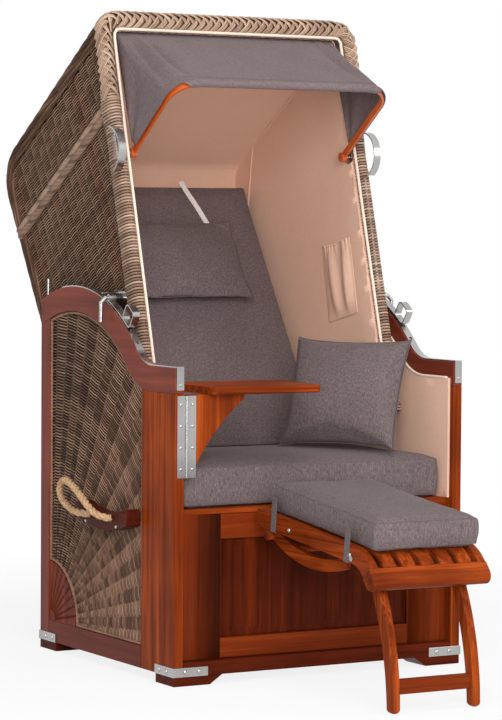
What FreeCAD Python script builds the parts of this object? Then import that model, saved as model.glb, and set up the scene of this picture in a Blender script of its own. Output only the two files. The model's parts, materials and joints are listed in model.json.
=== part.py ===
import FreeCAD, Part
import math
import os
from FreeCAD import Vector

os.makedirs("parts", exist_ok=True)

# Hooded beach chair for one sitter, in millimetres.
# X runs to the right as seen from the front, Y to the rear and Z up.
# Sizes are measured from the front face of the base and from the floor; the finished
# model is then moved so that its origin is the middle of the floor below it.

# Base box
BASE_WIDTH = 794.0
BASE_DEPTH = 712.0
WALL = 25.0
FOOT_HEIGHT = 22.0
ARM_TOP = 740.0
ARM_BAND = 60.0
ARM_SWEEP = 100.0
ARCH_RADIUS = 455.0
FRONT_POST = 165.0
REAR_POST = 47.0
SIDE_RAIL = 53.0
WICKER = 14.0
SHELL_RADIUS = 150.0
SHELL_THICK = 20.0
SHELL_PETALS = 9
SHELL_SCALLOP = 6.0
SHELL_GROOVE = 4.0
SHELL_GROOVE_START = 0.2
FOOT_DEPTH = 90.0
FOOT_LENGTH = 130.0
FOOT_BEVEL = 33.0

# Front, seat and rear of the base
FRONT_SET_BACK = 25.0
FRONT_BOARD = 20.0
PLINTH = 33.0
STILE = 112.0
TOP_RAIL = 60.0
LOWER_RAIL = 48.0
FIELD_BOARD = 10.0
FIELD_SET_BACK = 8.0
FIELD_BEVEL = 26.0
FIELD_BEVEL_DEPTH = 5.0
SEAT_HEIGHT = 408.0
DECK = 12.0
BEARER_HEIGHT = 30.0
BEARER_WIDTH = 20.0
REAR_WALL_TOP = 440.0
REAR_BOARD = 16.0
LINING = 6.0
LINING_DROP = 40.0
LINING_FRONT = 14.0

# Hood turning on two pins inside the base walls
PIVOT_Y = 530.0
PIVOT_RISE = 52.0
PIVOT_PIN = 8.0
PIVOT_PLATE = 5.0
PIVOT_PLATE_WIDTH = 60.0
PIVOT_LUG = 38.0
HOOD_SIDE_GAP = 18.0
HOOD_PANEL = 18.0
HOOD_LINING = 6.0
HOOD_SIDE_LINING = 9.7
HOOD_LEAN = 32.25
FRONT_LEAN = 15.6
HOOD_TOP_Y = 463.0
HOOD_TOP_Z = 1594.0
ROOF_LENGTH = 702.0
BACK_ABOVE_SEAT = 46.0
HOOD_CORNER = 85.0
SIDE_ABOVE_SEAT = 137.0
SIDE_LOWER_SLOPE = 12.0
HOOD_WEAVE = 4.0
HOOD_RIB = 40.0
HOOD_RIB_STEP = 104.0
HOOD_EDGE = 18.0
HOOD_EDGE_RISE = 8.0
HOOD_ROLL = 10.0
HOOD_ROLL_SINK = 2.0
HOOD_ROLL_SIDES = 8
HOOD_ROLLS_BELOW = 204.0
HOOD_ROLL_STEP = 28.0
HOOD_ROLL_REAR = 4.0
HOOD_ROLL_FRONT = 545.0

# Rim of the hood: a braid round the top and a wrapped edge below it
RIM_DEPTH = 34.0
BRAID_WIDTH = 44.0
BRAID_LIP = 16.0
BRAID_LENGTH = 274.0
BRAID_CORNER = 55.0
BRAID_SLOPE = 11.0
BRAID_PROUD = 12.0
WRAP_WIDTH = 32.0
WRAP_DEPTH = 26.0
WRAP_ROUND = 10.0

# Recline lock on the arms
STRIP = 3.0
STRIP_WIDTH = 19.0
STRIP_FRONT_DROP = 52.0
STRIP_REAR = 600.0
STRIP_HOLE = 4.5
STRIP_HOLES = 7
STRIP_FIRST_HOLE = 134.0
STRIP_HOLE_STEP = 5.5
LATCH_PIN = 5.0
LATCH_PIN_Y = 348.0
LATCH_PIN_RISE = 14.0
LATCH_PIN_CLEAR = 16.0
LATCH_PIN_DROP = 58.0
LATCH_PIN_BEND = 12.0
LATCH_EYE = 9.0
LATCH_LIFT = 3.0
LATCH_STRAP = 3.0
LATCH_WIDTH = 18.0
LATCH_RING = 46.0
LATCH_RING_ROUND = 12.0
LATCH_RING_ANGLE = 126.0
LOCK_PLATE = 3.0
LOCK_PLATE_FRONT = 322.0
LOCK_PLATE_REAR = 450.0
LOCK_PLATE_RISE = 402.0
LOCK_PLATE_HEIGHT = 46.0
RELEASE_ROD = 2.5
RELEASE_ROD_LENGTH = 48.0
RELEASE_ROD_BACK = 22.0
STOP_PIN = 3.0
STOP_PIN_INSET = 15.0
STOP_PIN_LENGTH = 46.0

# Hood handles and awning
HANDLE_HEIGHT = 113.0
HANDLE_REACH = 43.0
HANDLE_STRIP = 3.0
HANDLE_WIDTH = 16.0
HANDLE_TAB = 20.0
HANDLE_BELOW_TOP = 352.0
BOW_PIVOT_Y = 406.0
BOW_PIVOT_Z = 1242.0
BOW_SIDE_GAP = 20.0
BOW_REACH = 279.0
BOW_RISE = 36.0
BOW_BAR_WIDTH = 16.0
BOW_BAR = 6.0
BOW_CORNER = 70.0
BOW_EYE = 12.0
BOW_EYE_WIDTH = 14.0
BOW_PIN = 4.0
CLAMP_DISC = 17.0
CLAMP_THICK = 4.0
CANOPY_CLOTH = 2.0
CANOPY_HEM_GAP = 0.6
CANOPY_HEM_TURN = 200.0
CANOPY_SIDE_GAP = 1.2
GUSSET_FOLD = 5.0
GUSSET_FOLDS = 4
GUSSET_FULL = 0.55

# Cushions
CUSHION_SWELL = 6.0
SEAT_CUSHION = 110.0
SEAT_CROWN = 10.0
SEAT_CUSHION_GAP = 2.0
SEAT_CUSHION_REAR = 476.0
BACK_CUSHION = 95.0
BACK_CROWN = 8.0
BACK_CUSHION_GAP = 14.0
BACK_CUSHION_TOP = 112.0
BACK_CUSHION_END = 30.0
HEAD_PILLOW_WIDTH = 380.0
HEAD_PILLOW_HEIGHT = 250.0
HEAD_PILLOW = 84.0
HEAD_PILLOW_BELOW = 387.0
PILLOW_STRAP_WIDTH = 14.0
PILLOW_STRAP = 1.5
PILLOW_STRAP_TOP_X = 98.0
PILLOW_STRAP_LOW_X = 142.0
THROW_PILLOW_WIDTH = 322.0
THROW_PILLOW_HEIGHT = 296.0
THROW_PILLOW = 122.0
THROW_PILLOW_INSET = 184.0
THROW_PILLOW_Y = 203.0
THROW_PILLOW_TURN = 55.0
THROW_PILLOW_LEAN = 21.0
PILLOW_DRAW = 16.0
PILLOW_EDGE = 5.0
POCKET_THICK = 9.0
POCKET_WIDTH = 140.0
POCKET_HEIGHT = 200.0
POCKET_Y = 447.0
POCKET_Z = 931.0
POCKET_TURN = 12.0
POCKET_SHOULDER = 0.96
POCKET_FACE = 0.8

# Carrying handles of rope on the side walls
BLOCK_FRONT = 179.0
BLOCK_LENGTH = 259.0
BLOCK_LOW = 358.0
BLOCK_HEIGHT = 42.0
BLOCK_SAG = 20.0
BLOCK_PROUD = 33.0
BLOCK_ROUND = 7.0
ROPE = 9.0
ROPE_TURN_SHARE = 0.45
ROPE_SIDES = 6
ROPE_ROUTE = [
    (0.0, 257.0, 370.0),
    (29.0, 262.0, 374.0),
    (38.0, 300.0, 394.0),
    (34.0, 366.0, 426.0),
    (26.0, 446.0, 450.0),
    (19.0, 496.0, 438.0),
    (19.0, 496.0, 404.0),
    (25.0, 440.0, 383.0),
    (26.0, 385.0, 372.0),
    (0.0, 368.0, 370.0),
]

# Folding side table on the left front post
HINGE_LOW = 485.0
HINGE_HIGH = 675.0
HINGE_LEAF = 2.0
HINGE_LEAF_WIDTH = 20.0
HINGE_KNUCKLE = 4.0
HINGE_KNUCKLES = 3
HINGE_PIN = 1.7
HINGE_SIDE_GAP = 5.0
HINGE_EDGE_GAP = 0.5
BRACKET_BOARD = 22.0
BRACKET_REACH = 150.0
BRACKET_FOOT = 8.0
BRACKET_TIP = 12.0
BRACKET_HOLLOW = 14.0
BATTEN_LENGTH = 90.0
BATTEN = 20.0
TABLE_TOP_Z = 695.0
TABLE_BOARD = 18.0
TABLE_INSET = 60.0
TABLE_WIDTH = 293.0
TABLE_FRONT = -30.0
TABLE_DEPTH = 230.0
TABLE_CORNER = 14.0

# Footrest hooked to the front of the seat
REST_X = -30.0
REST_WIDTH = 304.0
REST_AXIS_Y = -18.0
REST_AXIS_DROP = 12.0
REST_TILT = 6.3
REST_TOP = 11.0
REST_REAR = 8.0
REST_STRAIGHT = 415.0
REST_BEND = 115.0
REST_BEND_ANGLE = 44.0
REST_RAIL = 20.0
REST_RAIL_HEIGHT = 38.0
REST_BAR = 44.0
REST_BAR_OVERHANG = 3.0
DOWEL = 10.0
HOOK = 3.0
HOOK_WIDTH = 24.0
HOOK_SPACING = 180.0
HOOK_DROP = 34.0
SLATS = 5
SLAT_WIDTH = 34.0
SLAT = 10.0
SLAT_REAR_GAP = 4.5
CROSS_BAR = 18.0
CROSS_BAR_AT = 230.0
LEG_WIDTH = 30.0
LEG_FOOT_WIDTH = 26.0
LEG_BOW = 30.0
FRONT_LEG = 20.0
FRONT_LEG_OFFSET = 106.0
FRONT_LEG_BOLT_ANGLE = 2.0
FRONT_LEG_BOLT_DROP = 27.0
FRONT_LEG_AHEAD = 119.0
STRETCHER_LOW = 42.0
STRETCHER_HEIGHT = 33.0
STRETCHER = 18.0
REAR_LEG = 14.0
REAR_LEG_BOLT_BACK = 40.0
REAR_LEG_BOLT_DROP = 52.0
REAR_LEG_LENGTH = 320.0
REAR_STRETCHER_AT = 70.0
LEG_BOLT = 4.0
LEG_BOLT_HEAD = 7.0
REST_CUSHION = 72.0
REST_CROWN = 5.0
REST_CUSHION_WIDTH = 294.0
REST_CUSHION_REAR = 22.0
REST_CUSHION_OVERHANG = 77.0
REST_STRAP = 1.6
REST_STRAP_WIDTH = 20.0
REST_STRAP_REAR = 70.0
REST_STRAP_FRONT = 20.0
REST_STRAP_RISE = 40.0

# Corner irons
IRON = 2.5
IRON_HEIGHT = 22.0
IRON_LEG = 90.0

# Clearances
RUN_GAP = 0.05
SOFT_GAP = 0.4
JOINT_GAP = 0.2

# Ways of making
MITRED = 1
HOLE_SIDES = 6

# Values worked out from the sizes above
WALL_OUT = BASE_WIDTH / 2.0
WALL_IN = WALL_OUT - WALL
WALL_MID = WALL_OUT - WALL / 2.0
RAIL_TOP = FOOT_HEIGHT + SIDE_RAIL
PIVOT_Z = SEAT_HEIGHT + PIVOT_RISE
REAR_POST_FRONT = BASE_DEPTH - REAR_POST
STOP_PIN_Y = BASE_DEPTH - STOP_PIN_INSET
SWEEP_Z = ARM_TOP + ARM_SWEEP
SWEEP_Y = PIVOT_Y - math.sqrt((ARCH_RADIUS + ARM_SWEEP) ** 2 - (SWEEP_Z - PIVOT_Z) ** 2)
DECK_LOW = SEAT_HEIGHT - DECK
SIDE_LOWER_Z = SEAT_HEIGHT + SIDE_ABOVE_SEAT
PLINTH_TOP = FOOT_HEIGHT + PLINTH
FRONT_BACK = FRONT_SET_BACK + FRONT_BOARD
HOOD_OUT = WALL_IN - LINING - HOOD_SIDE_GAP
HOOD_IN = HOOD_OUT - HOOD_PANEL
LINING_IN = HOOD_IN - JOINT_GAP - HOOD_SIDE_LINING
BACK_CUSHION_WIDTH = 2.0 * (LINING_IN - BACK_CUSHION_GAP)
BOW_HALF_WIDTH = LINING_IN - BOW_SIDE_GAP
LATCH_PIN_REACH = WALL_OUT + LATCH_PIN_CLEAR
LATCH_PIN_RADIUS = ARCH_RADIUS + LATCH_PIN_RISE
LOCK_PLATE_LOW = PIVOT_Z + LOCK_PLATE_RISE
LATCH_PIN_Z = PIVOT_Z + math.sqrt(LATCH_PIN_RADIUS ** 2 - (LATCH_PIN_Y - PIVOT_Y) ** 2)
SEAT_CUSHION_FRONT = BRACKET_BOARD + SEAT_CUSHION_GAP
HINGE_X = -WALL_IN + HINGE_SIDE_GAP
HINGE_Y = -HINGE_LEAF
REST_AXIS_Z = SEAT_HEIGHT - REST_AXIS_DROP
TABLE_LOW = TABLE_TOP_Z - TABLE_BOARD
TABLE_LEFT = WALL_IN - TABLE_INSET

nodes = {}


def keep(name, *solids):
    """Store one or more separate solids under a node's name."""
    nodes[name] = solids[0] if len(solids) == 1 else Part.makeCompound(list(solids))


def box(x0, x1, y0, y1, z0, z1):
    return Part.makeBox(x1 - x0, y1 - y0, z1 - z0, Vector(x0, y0, z0))


def mirrored(shape):
    """The same piece on the other side of the chair."""
    return shape.mirror(Vector(0, 0, 0), Vector(1, 0, 0))


def keep_pair(name, right):
    """Store a piece and its mirror image as two nodes."""
    keep(name + "_right", right)
    keep(name + "_left", mirrored(right))


def keep_both(name, *right):
    """Store pieces and their mirror images as one node of separate solids."""
    keep(name, *right, *[mirrored(piece) for piece in right])


def loop(place, start, steps):
    """Closed wire; a step is a point, or (middle, end) for an arc through middle."""
    edges = []
    here = place(*start)
    for step in list(steps) + [start]:
        if isinstance(step[0], tuple):
            end = place(*step[1])
            edges.append(Part.Arc(here, place(*step[0]), end).toShape())
        else:
            end = place(*step)
            if here.distanceToPoint(end) < 1e-6:
                continue
            edges.append(Part.LineSegment(here, end).toShape())
        here = end
    return Part.Wire(edges)


def side_slab(x0, x1, start, *steps):
    """Slab between two values of x with an outline of (y, z) points."""
    wire = loop(lambda y, z: Vector(x0, y, z), start, steps)
    return Part.Face(wire).extrude(Vector(x1 - x0, 0, 0))


def front_slab(y0, y1, start, *steps):
    """Slab between two values of y with an outline of (x, z) points."""
    wire = loop(lambda x, z: Vector(x, y0, z), start, steps)
    return Part.Face(wire).extrude(Vector(0, y1 - y0, 0))


def rod(start, end, radius):
    axis = end.sub(start)
    return Part.makeCylinder(radius, axis.Length, start, axis)


def x_rod(x0, x1, y, z, radius):
    return rod(Vector(x0, y, z), Vector(x1, y, z), radius)


def ring_of(centre, axis, radius, sides):
    """Regular polygon round an axis, as a face."""
    axis = Vector(axis).normalize()
    spoke = axis.cross(Vector(0, 0, 1) if abs(axis.z) < 0.9 else Vector(0, 1, 0)).normalize() * radius
    turn = 360.0 / sides
    corners = []
    for side in range(sides + 1):
        corners.append(centre + FreeCAD.Rotation(axis, turn * (side + 0.5)).multVec(spoke))
    return Part.Face(Part.makePolygon(corners))


def fused(*shapes):
    whole = shapes[0].fuse(list(shapes[1:]))
    return whole.removeSplitter()


def round_edges(shape, radius, chosen):
    """Round the edges that the test picks."""
    return shape.makeFillet(radius, [edge for edge in shape.Edges if chosen(edge)])


def slope_edges(shape, size, chosen):
    """Bevel the edges that the test picks."""
    return shape.makeChamfer(size, [edge for edge in shape.Edges if chosen(edge)])


def along(edge, axis):
    """True for a straight edge parallel to an axis."""
    ends = edge.Vertexes
    if len(ends) != 2 or edge.Curve.TypeId != "Part::GeomLine":
        return False
    run = ends[1].Point.sub(ends[0].Point)
    return abs(run.normalize().dot(axis)) > 0.999


def on_circle(centre, radius, degrees):
    turn = math.radians(degrees)
    return (centre[0] + radius * math.cos(turn), centre[1] + radius * math.sin(turn))


def backwards(first, steps):
    """The same run of lines and arcs walked from its far end."""
    points = [first]
    middles = []
    for step in steps:
        is_arc = isinstance(step[0], tuple)
        middles.append(step[0] if is_arc else None)
        points.append(step[1] if is_arc else step)
    back = []
    for middle, point in zip(reversed(middles), reversed(points[:-1])):
        back.append((middle, point) if middle else point)
    return points[-1], back


# Arms: a flat armrest, a hollow sweep and an arch struck from the hood's pivot
def arch_at(y, offset):
    """Height of the arch at y, on a curve raised by offset from the arm's top."""
    return PIVOT_Z + math.sqrt((ARCH_RADIUS + offset) ** 2 - (y - PIVOT_Y) ** 2)


def sweep_at(y, offset):
    return SWEEP_Z - math.sqrt((ARM_SWEEP - offset) ** 2 - (y - SWEEP_Y) ** 2)


def arm_line(offset, front, rear):
    """First point and steps of the arm's top line, raised by offset."""
    share = (ARCH_RADIUS + offset) / (ARCH_RADIUS + ARM_SWEEP)
    joint_y = PIVOT_Y + share * (SWEEP_Y - PIVOT_Y)
    joint = (joint_y, arch_at(joint_y, offset))
    steps = []
    if front < SWEEP_Y:
        first = (front, ARM_TOP + offset)
        steps.append((SWEEP_Y, ARM_TOP + offset))
    else:
        first = (front, sweep_at(front, offset))
    sweep_mid = (max(front, SWEEP_Y) + joint_y) / 2.0
    steps.append(((sweep_mid, sweep_at(sweep_mid, offset)), joint))
    arch_mid = (joint_y + rear) / 2.0
    steps.append(((arch_mid, arch_at(arch_mid, offset)), (rear, arch_at(rear, offset))))
    return first, steps


def arm_strip(x0, x1, low, high, front, rear):
    """Slab that follows the arm between two offsets from its top line."""
    first, upper = arm_line(high, front, rear)
    corner, lower = backwards(*arm_line(low, front, rear))
    return side_slab(x0, x1, first, *upper, corner, *lower)


def make_base_sides():
    arm = arm_strip(WALL_IN, WALL_OUT, -ARM_BAND, 0.0, 0.0, BASE_DEPTH)
    keep_pair("arm_rail", arm)
    under = -ARM_BAND - JOINT_GAP
    post_mid = (SWEEP_Y + FRONT_POST) / 2.0
    keep_both("front_posts", side_slab(
        WALL_IN, WALL_OUT, (0.0, FOOT_HEIGHT), (0.0, ARM_TOP + under), (SWEEP_Y, ARM_TOP + under),
        ((post_mid, sweep_at(post_mid, under)), (FRONT_POST, sweep_at(FRONT_POST, under))),
        (FRONT_POST, FOOT_HEIGHT)))
    post_mid = (REAR_POST_FRONT + BASE_DEPTH) / 2.0
    rear_post = side_slab(
        WALL_IN, WALL_OUT, (REAR_POST_FRONT, FOOT_HEIGHT),
        (REAR_POST_FRONT, arch_at(REAR_POST_FRONT, under)),
        ((post_mid, arch_at(post_mid, under)), (BASE_DEPTH, arch_at(BASE_DEPTH, under))),
        (BASE_DEPTH, FOOT_HEIGHT))
    keep_both("rear_posts", rear_post)
    rail = box(WALL_IN, WALL_OUT, FRONT_POST, REAR_POST_FRONT, FOOT_HEIGHT, RAIL_TOP)
    keep_both("side_rails", rail)


def make_side_panels():
    """Woven infill of each side wall, cut away where the carved fan sits."""
    under = -ARM_BAND - JOINT_GAP
    x0 = WALL_MID - WICKER / 2.0
    x1 = WALL_MID + WICKER / 2.0
    first, top = arm_line(under, FRONT_POST, REAR_POST_FRONT)
    panel = side_slab(x0, x1, (FRONT_POST, RAIL_TOP), first, *top, (REAR_POST_FRONT, RAIL_TOP))
    fan = x_rod(x0 - 1.0, x1 + 1.0, REAR_POST_FRONT, RAIL_TOP, SHELL_RADIUS + JOINT_GAP)
    keep_both("side_panels", panel.cut(fan))


def make_shell_corners():
    """Quarter fan with scalloped petals and grooves between them."""
    hub = (REAR_POST_FRONT, RAIL_TOP)
    x1 = WALL_MID + SHELL_THICK / 2.0
    step = 90.0 / SHELL_PETALS
    notch = SHELL_RADIUS - SHELL_SCALLOP
    petals = []
    for petal in range(SHELL_PETALS):
        tip = on_circle(hub, SHELL_RADIUS, 90.0 + step * (petal + 0.5))
        petals.append((tip, on_circle(hub, notch, 90.0 + step * (petal + 1))))
    fan = side_slab(x1 - SHELL_THICK, x1, hub, on_circle(hub, notch, 90.0), *petals)
    inner = SHELL_RADIUS * SHELL_GROOVE_START
    for groove in range(1, SHELL_PETALS):
        along_y, along_z = on_circle((0.0, 0.0), 1.0, 90.0 + step * groove)
        near = Vector(x1, *on_circle(hub, inner, 90.0 + step * groove))
        wide = Vector(0, -along_z, along_y) * SHELL_GROOVE
        corners = [near + wide, near - wide, near - Vector(SHELL_GROOVE, 0, 0), near + wide]
        valley = Part.Face(Part.makePolygon(corners))
        fan = fan.cut(valley.extrude(Vector(0, along_y, along_z) * SHELL_RADIUS))
    keep_both("shell_corners", fan)


def make_front():
    keep("plinth", box(-WALL_IN, WALL_IN, 0.0, FRONT_BACK, FOOT_HEIGHT, PLINTH_TOP))
    inner = WALL_IN - STILE
    y0 = FRONT_SET_BACK
    y1 = FRONT_BACK
    top_low = DECK_LOW - TOP_RAIL
    lower_top = PLINTH_TOP + LOWER_RAIL
    stile = box(inner, WALL_IN, y0, y1, PLINTH_TOP, DECK_LOW)
    keep("front_frame", stile, mirrored(stile), box(-inner, inner, y0, y1, top_low, DECK_LOW),
         box(-inner, inner, y0, y1, PLINTH_TOP, lower_top))
    field_front = y0 + FIELD_SET_BACK
    field = box(-inner, inner, field_front, field_front + FIELD_BOARD, lower_top, top_low)
    margin = FIELD_BEVEL
    raised = Part.makeLoft([
        loop(lambda x, z: Vector(x, field_front + FIELD_BEVEL_DEPTH, z), (-inner, lower_top),
             [(inner, lower_top), (inner, top_low), (-inner, top_low)]),
        loop(lambda x, z: Vector(x, field_front, z), (-inner + margin, lower_top + margin),
             [(inner - margin, lower_top + margin), (inner - margin, top_low - margin),
              (-inner + margin, top_low - margin)])], True, True)
    back = box(-inner, inner, field_front + FIELD_BEVEL_DEPTH, field_front + FIELD_BOARD, lower_top, top_low)
    keep("front_field", fused(raised, back).common(field))


def make_seat_and_rear():
    deck = box(-WALL_IN, WALL_IN, FRONT_SET_BACK, BASE_DEPTH - REAR_BOARD, DECK_LOW, SEAT_HEIGHT)
    keep("seat_deck", deck)
    bearer = box(WALL_IN - BEARER_WIDTH, WALL_IN, FRONT_BACK, BASE_DEPTH - REAR_BOARD,
                 DECK_LOW - BEARER_HEIGHT, DECK_LOW)
    keep_both("seat_bearers", bearer)
    keep("rear_wall", box(-WALL_IN, WALL_IN, BASE_DEPTH - REAR_BOARD, BASE_DEPTH, FOOT_HEIGHT, REAR_WALL_TOP))
    first, top = arm_line(-LINING_DROP, LINING_FRONT, REAR_POST_FRONT)
    lining = side_slab(WALL_IN - LINING, WALL_IN, (LINING_FRONT, SEAT_HEIGHT), first, *top,
                       (REAR_POST_FRONT, SEAT_HEIGHT))
    keep_both("wall_linings", lining)


def make_feet():
    inner = WALL_OUT - FOOT_LENGTH
    outline = [(WALL_OUT, 0.0), (WALL_OUT, FOOT_HEIGHT), (inner, FOOT_HEIGHT), (inner + FOOT_BEVEL, 0.0)]
    front = front_slab(0.0, FOOT_DEPTH, *outline)
    rear = front_slab(BASE_DEPTH - FOOT_DEPTH, BASE_DEPTH, *outline)
    keep_both("feet", front, rear)


def make_corner_irons():
    """Angle irons on the four lower corners."""
    low = FOOT_HEIGHT
    high = FOOT_HEIGHT + IRON_HEIGHT
    irons = []
    for corner_y, outward in ((0.0, -1.0), (BASE_DEPTH, 1.0)):
        face = corner_y + outward * IRON
        inward_end = corner_y - outward * IRON_LEG
        side = box(WALL_OUT, WALL_OUT + IRON, min(face, inward_end), max(face, inward_end), low, high)
        end = box(WALL_OUT - IRON_LEG, WALL_OUT + IRON, min(face, corner_y), max(face, corner_y), low, high)
        irons.append(fused(side, end))
    keep_both("corner_irons", *irons)


def make_lock_strips():
    """Perforated steel strip bent over the arm's front end and up its arch."""
    x0 = WALL_MID - STRIP_WIDTH / 2.0
    x1 = WALL_MID + STRIP_WIDTH / 2.0
    top = arm_strip(x0, x1, 0.0, STRIP, -STRIP, STRIP_REAR)
    strip = fused(top, box(x0, x1, -STRIP, 0.0, ARM_TOP - STRIP_FRONT_DROP, ARM_TOP))
    pivot = (PIVOT_Y, PIVOT_Z)
    for hole in range(STRIP_HOLES):
        angle = STRIP_FIRST_HOLE - STRIP_HOLE_STEP * hole
        near = Vector(WALL_MID, *on_circle(pivot, ARCH_RADIUS - STRIP, angle))
        outward = Vector(0, *on_circle((0.0, 0.0), 1.0, angle))
        strip = strip.cut(ring_of(near, outward, STRIP_HOLE, HOLE_SIDES).extrude(outward * 3.0 * STRIP))
    keep_both("lock_strips", strip)
    foot = arch_at(STOP_PIN_Y - STOP_PIN, 0.0)
    stem = rod(Vector(WALL_MID, STOP_PIN_Y, foot + JOINT_GAP),
               Vector(WALL_MID, STOP_PIN_Y, foot + STOP_PIN_LENGTH), STOP_PIN)
    keep_both("stop_pins", stem)


# Hood: points are set out from its top front corner along the roof and the back
def lean(degrees):
    """Unit steps (y, z) along a line that leans to the rear by degrees."""
    turn = math.radians(degrees)
    return (math.sin(turn), math.cos(turn))


BACK_UP = lean(HOOD_LEAN)
ROOF_REAR = (BACK_UP[1], -BACK_UP[0])
FRONT_UP = lean(FRONT_LEAN)
FRONT_OUT = (-FRONT_UP[1], FRONT_UP[0])
CORNER = (HOOD_TOP_Y + ROOF_LENGTH * ROOF_REAR[0], HOOD_TOP_Z + ROOF_LENGTH * ROOF_REAR[1])
BACK_LENGTH = (CORNER[1] - SEAT_HEIGHT - BACK_ABOVE_SEAT) / BACK_UP[1]
BACK_CUSHION_BOTTOM = BACK_LENGTH - BACK_CUSHION_END


def hood_point(below, inset):
    """Point on the hood's back: so far below its top corner, and inside its outer face."""
    return (CORNER[0] - below * BACK_UP[0] - inset * ROOF_REAR[0],
            CORNER[1] - below * BACK_UP[1] - inset * ROOF_REAR[1])


def front_point(below, out):
    """Point at the hood's front: so far below its top, and in front of its side panels."""
    ahead = out - RIM_DEPTH
    return (HOOD_TOP_Y - below * FRONT_UP[0] + ahead * FRONT_OUT[0],
            HOOD_TOP_Z - below * FRONT_UP[1] + ahead * FRONT_OUT[1])


def front_below(level):
    """Distance below the hood's top at which its front edge reaches a level."""
    return (front_point(0.0, 0.0)[1] - level) / FRONT_UP[1]


def roof_front(inset):
    """Where the roof, inset from its outer face, meets the front edge of the panels."""
    start = front_point(0.0, 0.0)
    corner = hood_point(0.0, 0.0)
    depth = BRAID_PROUD + inset
    reach = (corner[0] - start[0]) * BACK_UP[0] + (corner[1] - start[1]) * BACK_UP[1] - depth
    share = FRONT_UP[0] * BACK_UP[0] + FRONT_UP[1] * BACK_UP[1]
    return front_point(-reach / share, 0.0)


def hood_corner(inset):
    """Rounded corner from roof to back: its start, middle and end."""
    below = BRAID_PROUD + HOOD_CORNER
    centre = hood_point(below, HOOD_CORNER)
    radius = HOOD_CORNER - inset
    roof_turn = math.degrees(math.atan2(BACK_UP[1], BACK_UP[0]))
    return [on_circle(centre, radius, roof_turn - turn) for turn in (0.0, 45.0, 90.0)]


def hood_outline(inset):
    """Outline of the hood from the side, with roof and back inset."""
    start, middle, end = hood_corner(inset)
    foot = hood_point(BACK_LENGTH, inset)
    pivot = (PIVOT_Y, PIVOT_Z)
    lug_rear = on_circle(pivot, PIVOT_LUG, -20.0)
    lug_low = on_circle(pivot, PIVOT_LUG, -90.0)
    lug_front = on_circle(pivot, PIVOT_LUG, 180.0)
    rise = math.tan(math.radians(SIDE_LOWER_SLOPE))
    level = SIDE_LOWER_Z
    for _ in range(20):
        front = front_point(front_below(level), 0.0)
        level = SIDE_LOWER_Z + (lug_front[0] - front[0]) * rise
    return [front, roof_front(inset), start, (middle, end), foot, lug_rear, (lug_low, lug_front),
            (lug_front[0], SIDE_LOWER_Z)]


def hood_shell(x0, x1, outer, inner):
    """Roof and back together between two values of x and two insets."""
    near = hood_corner(outer)
    far = hood_corner(inner)
    return side_slab(x0, x1, roof_front(outer), near[0], (near[1], near[2]), hood_point(BACK_LENGTH, outer),
                     hood_point(BACK_LENGTH, inner), far[2], (far[1], far[0]), roof_front(inner))


def lock_plate_slab(x0, x1):
    high = LOCK_PLATE_LOW + LOCK_PLATE_HEIGHT
    turn = LOCK_PLATE_HEIGHT / 2.0
    return side_slab(x0, x1, (LOCK_PLATE_FRONT, LOCK_PLATE_LOW), (LOCK_PLATE_REAR - turn, LOCK_PLATE_LOW),
                     ((LOCK_PLATE_REAR, LOCK_PLATE_LOW + turn), (LOCK_PLATE_REAR - turn, high)),
                     (LOCK_PLATE_FRONT + turn, high), (LOCK_PLATE_FRONT, high - turn))


def make_hood_sides():
    """Side panels with raised stakes, a rolled edge and a pair of rolls across the weave."""
    face = HOOD_OUT - HOOD_WEAVE
    layer = side_slab(face, HOOD_OUT, *hood_outline(HOOD_EDGE))
    raised = [layer.common(lock_plate_slab(face, HOOD_OUT))]
    inset = HOOD_RIB_STEP
    while inset < ROOF_LENGTH - HOOD_RIB:
        stake = side_slab(face, HOOD_OUT, hood_point(0.0, inset), hood_point(0.0, inset + HOOD_RIB),
                          hood_point(2.0 * BACK_LENGTH, inset + HOOD_RIB), hood_point(2.0 * BACK_LENGTH, inset))
        raised.append(layer.common(stake))
        inset += HOOD_RIB_STEP
    raised.append(hood_shell(face, HOOD_OUT, -HOOD_EDGE_RISE, HOOD_EDGE))
    along_roof = Vector(0, -ROOF_REAR[0], -ROOF_REAR[1])
    for below in (HOOD_ROLLS_BELOW, HOOD_ROLLS_BELOW + HOOD_ROLL_STEP):
        rear = Vector(HOOD_OUT - HOOD_ROLL_SINK, *hood_point(below, HOOD_ROLL_REAR))
        ring = ring_of(rear, along_roof, HOOD_ROLL, HOOD_ROLL_SIDES)
        raised.append(ring.extrude(along_roof * (HOOD_ROLL_FRONT - HOOD_ROLL_REAR)))
    side = fused(side_slab(HOOD_IN, face, *hood_outline(-HOOD_EDGE_RISE)), *raised)
    bore = x_rod(HOOD_IN - 1.0, HOOD_OUT + 1.0, PIVOT_Y, PIVOT_Z, PIVOT_PIN + RUN_GAP)
    keep_pair("hood_side", side.cut(bore))


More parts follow.
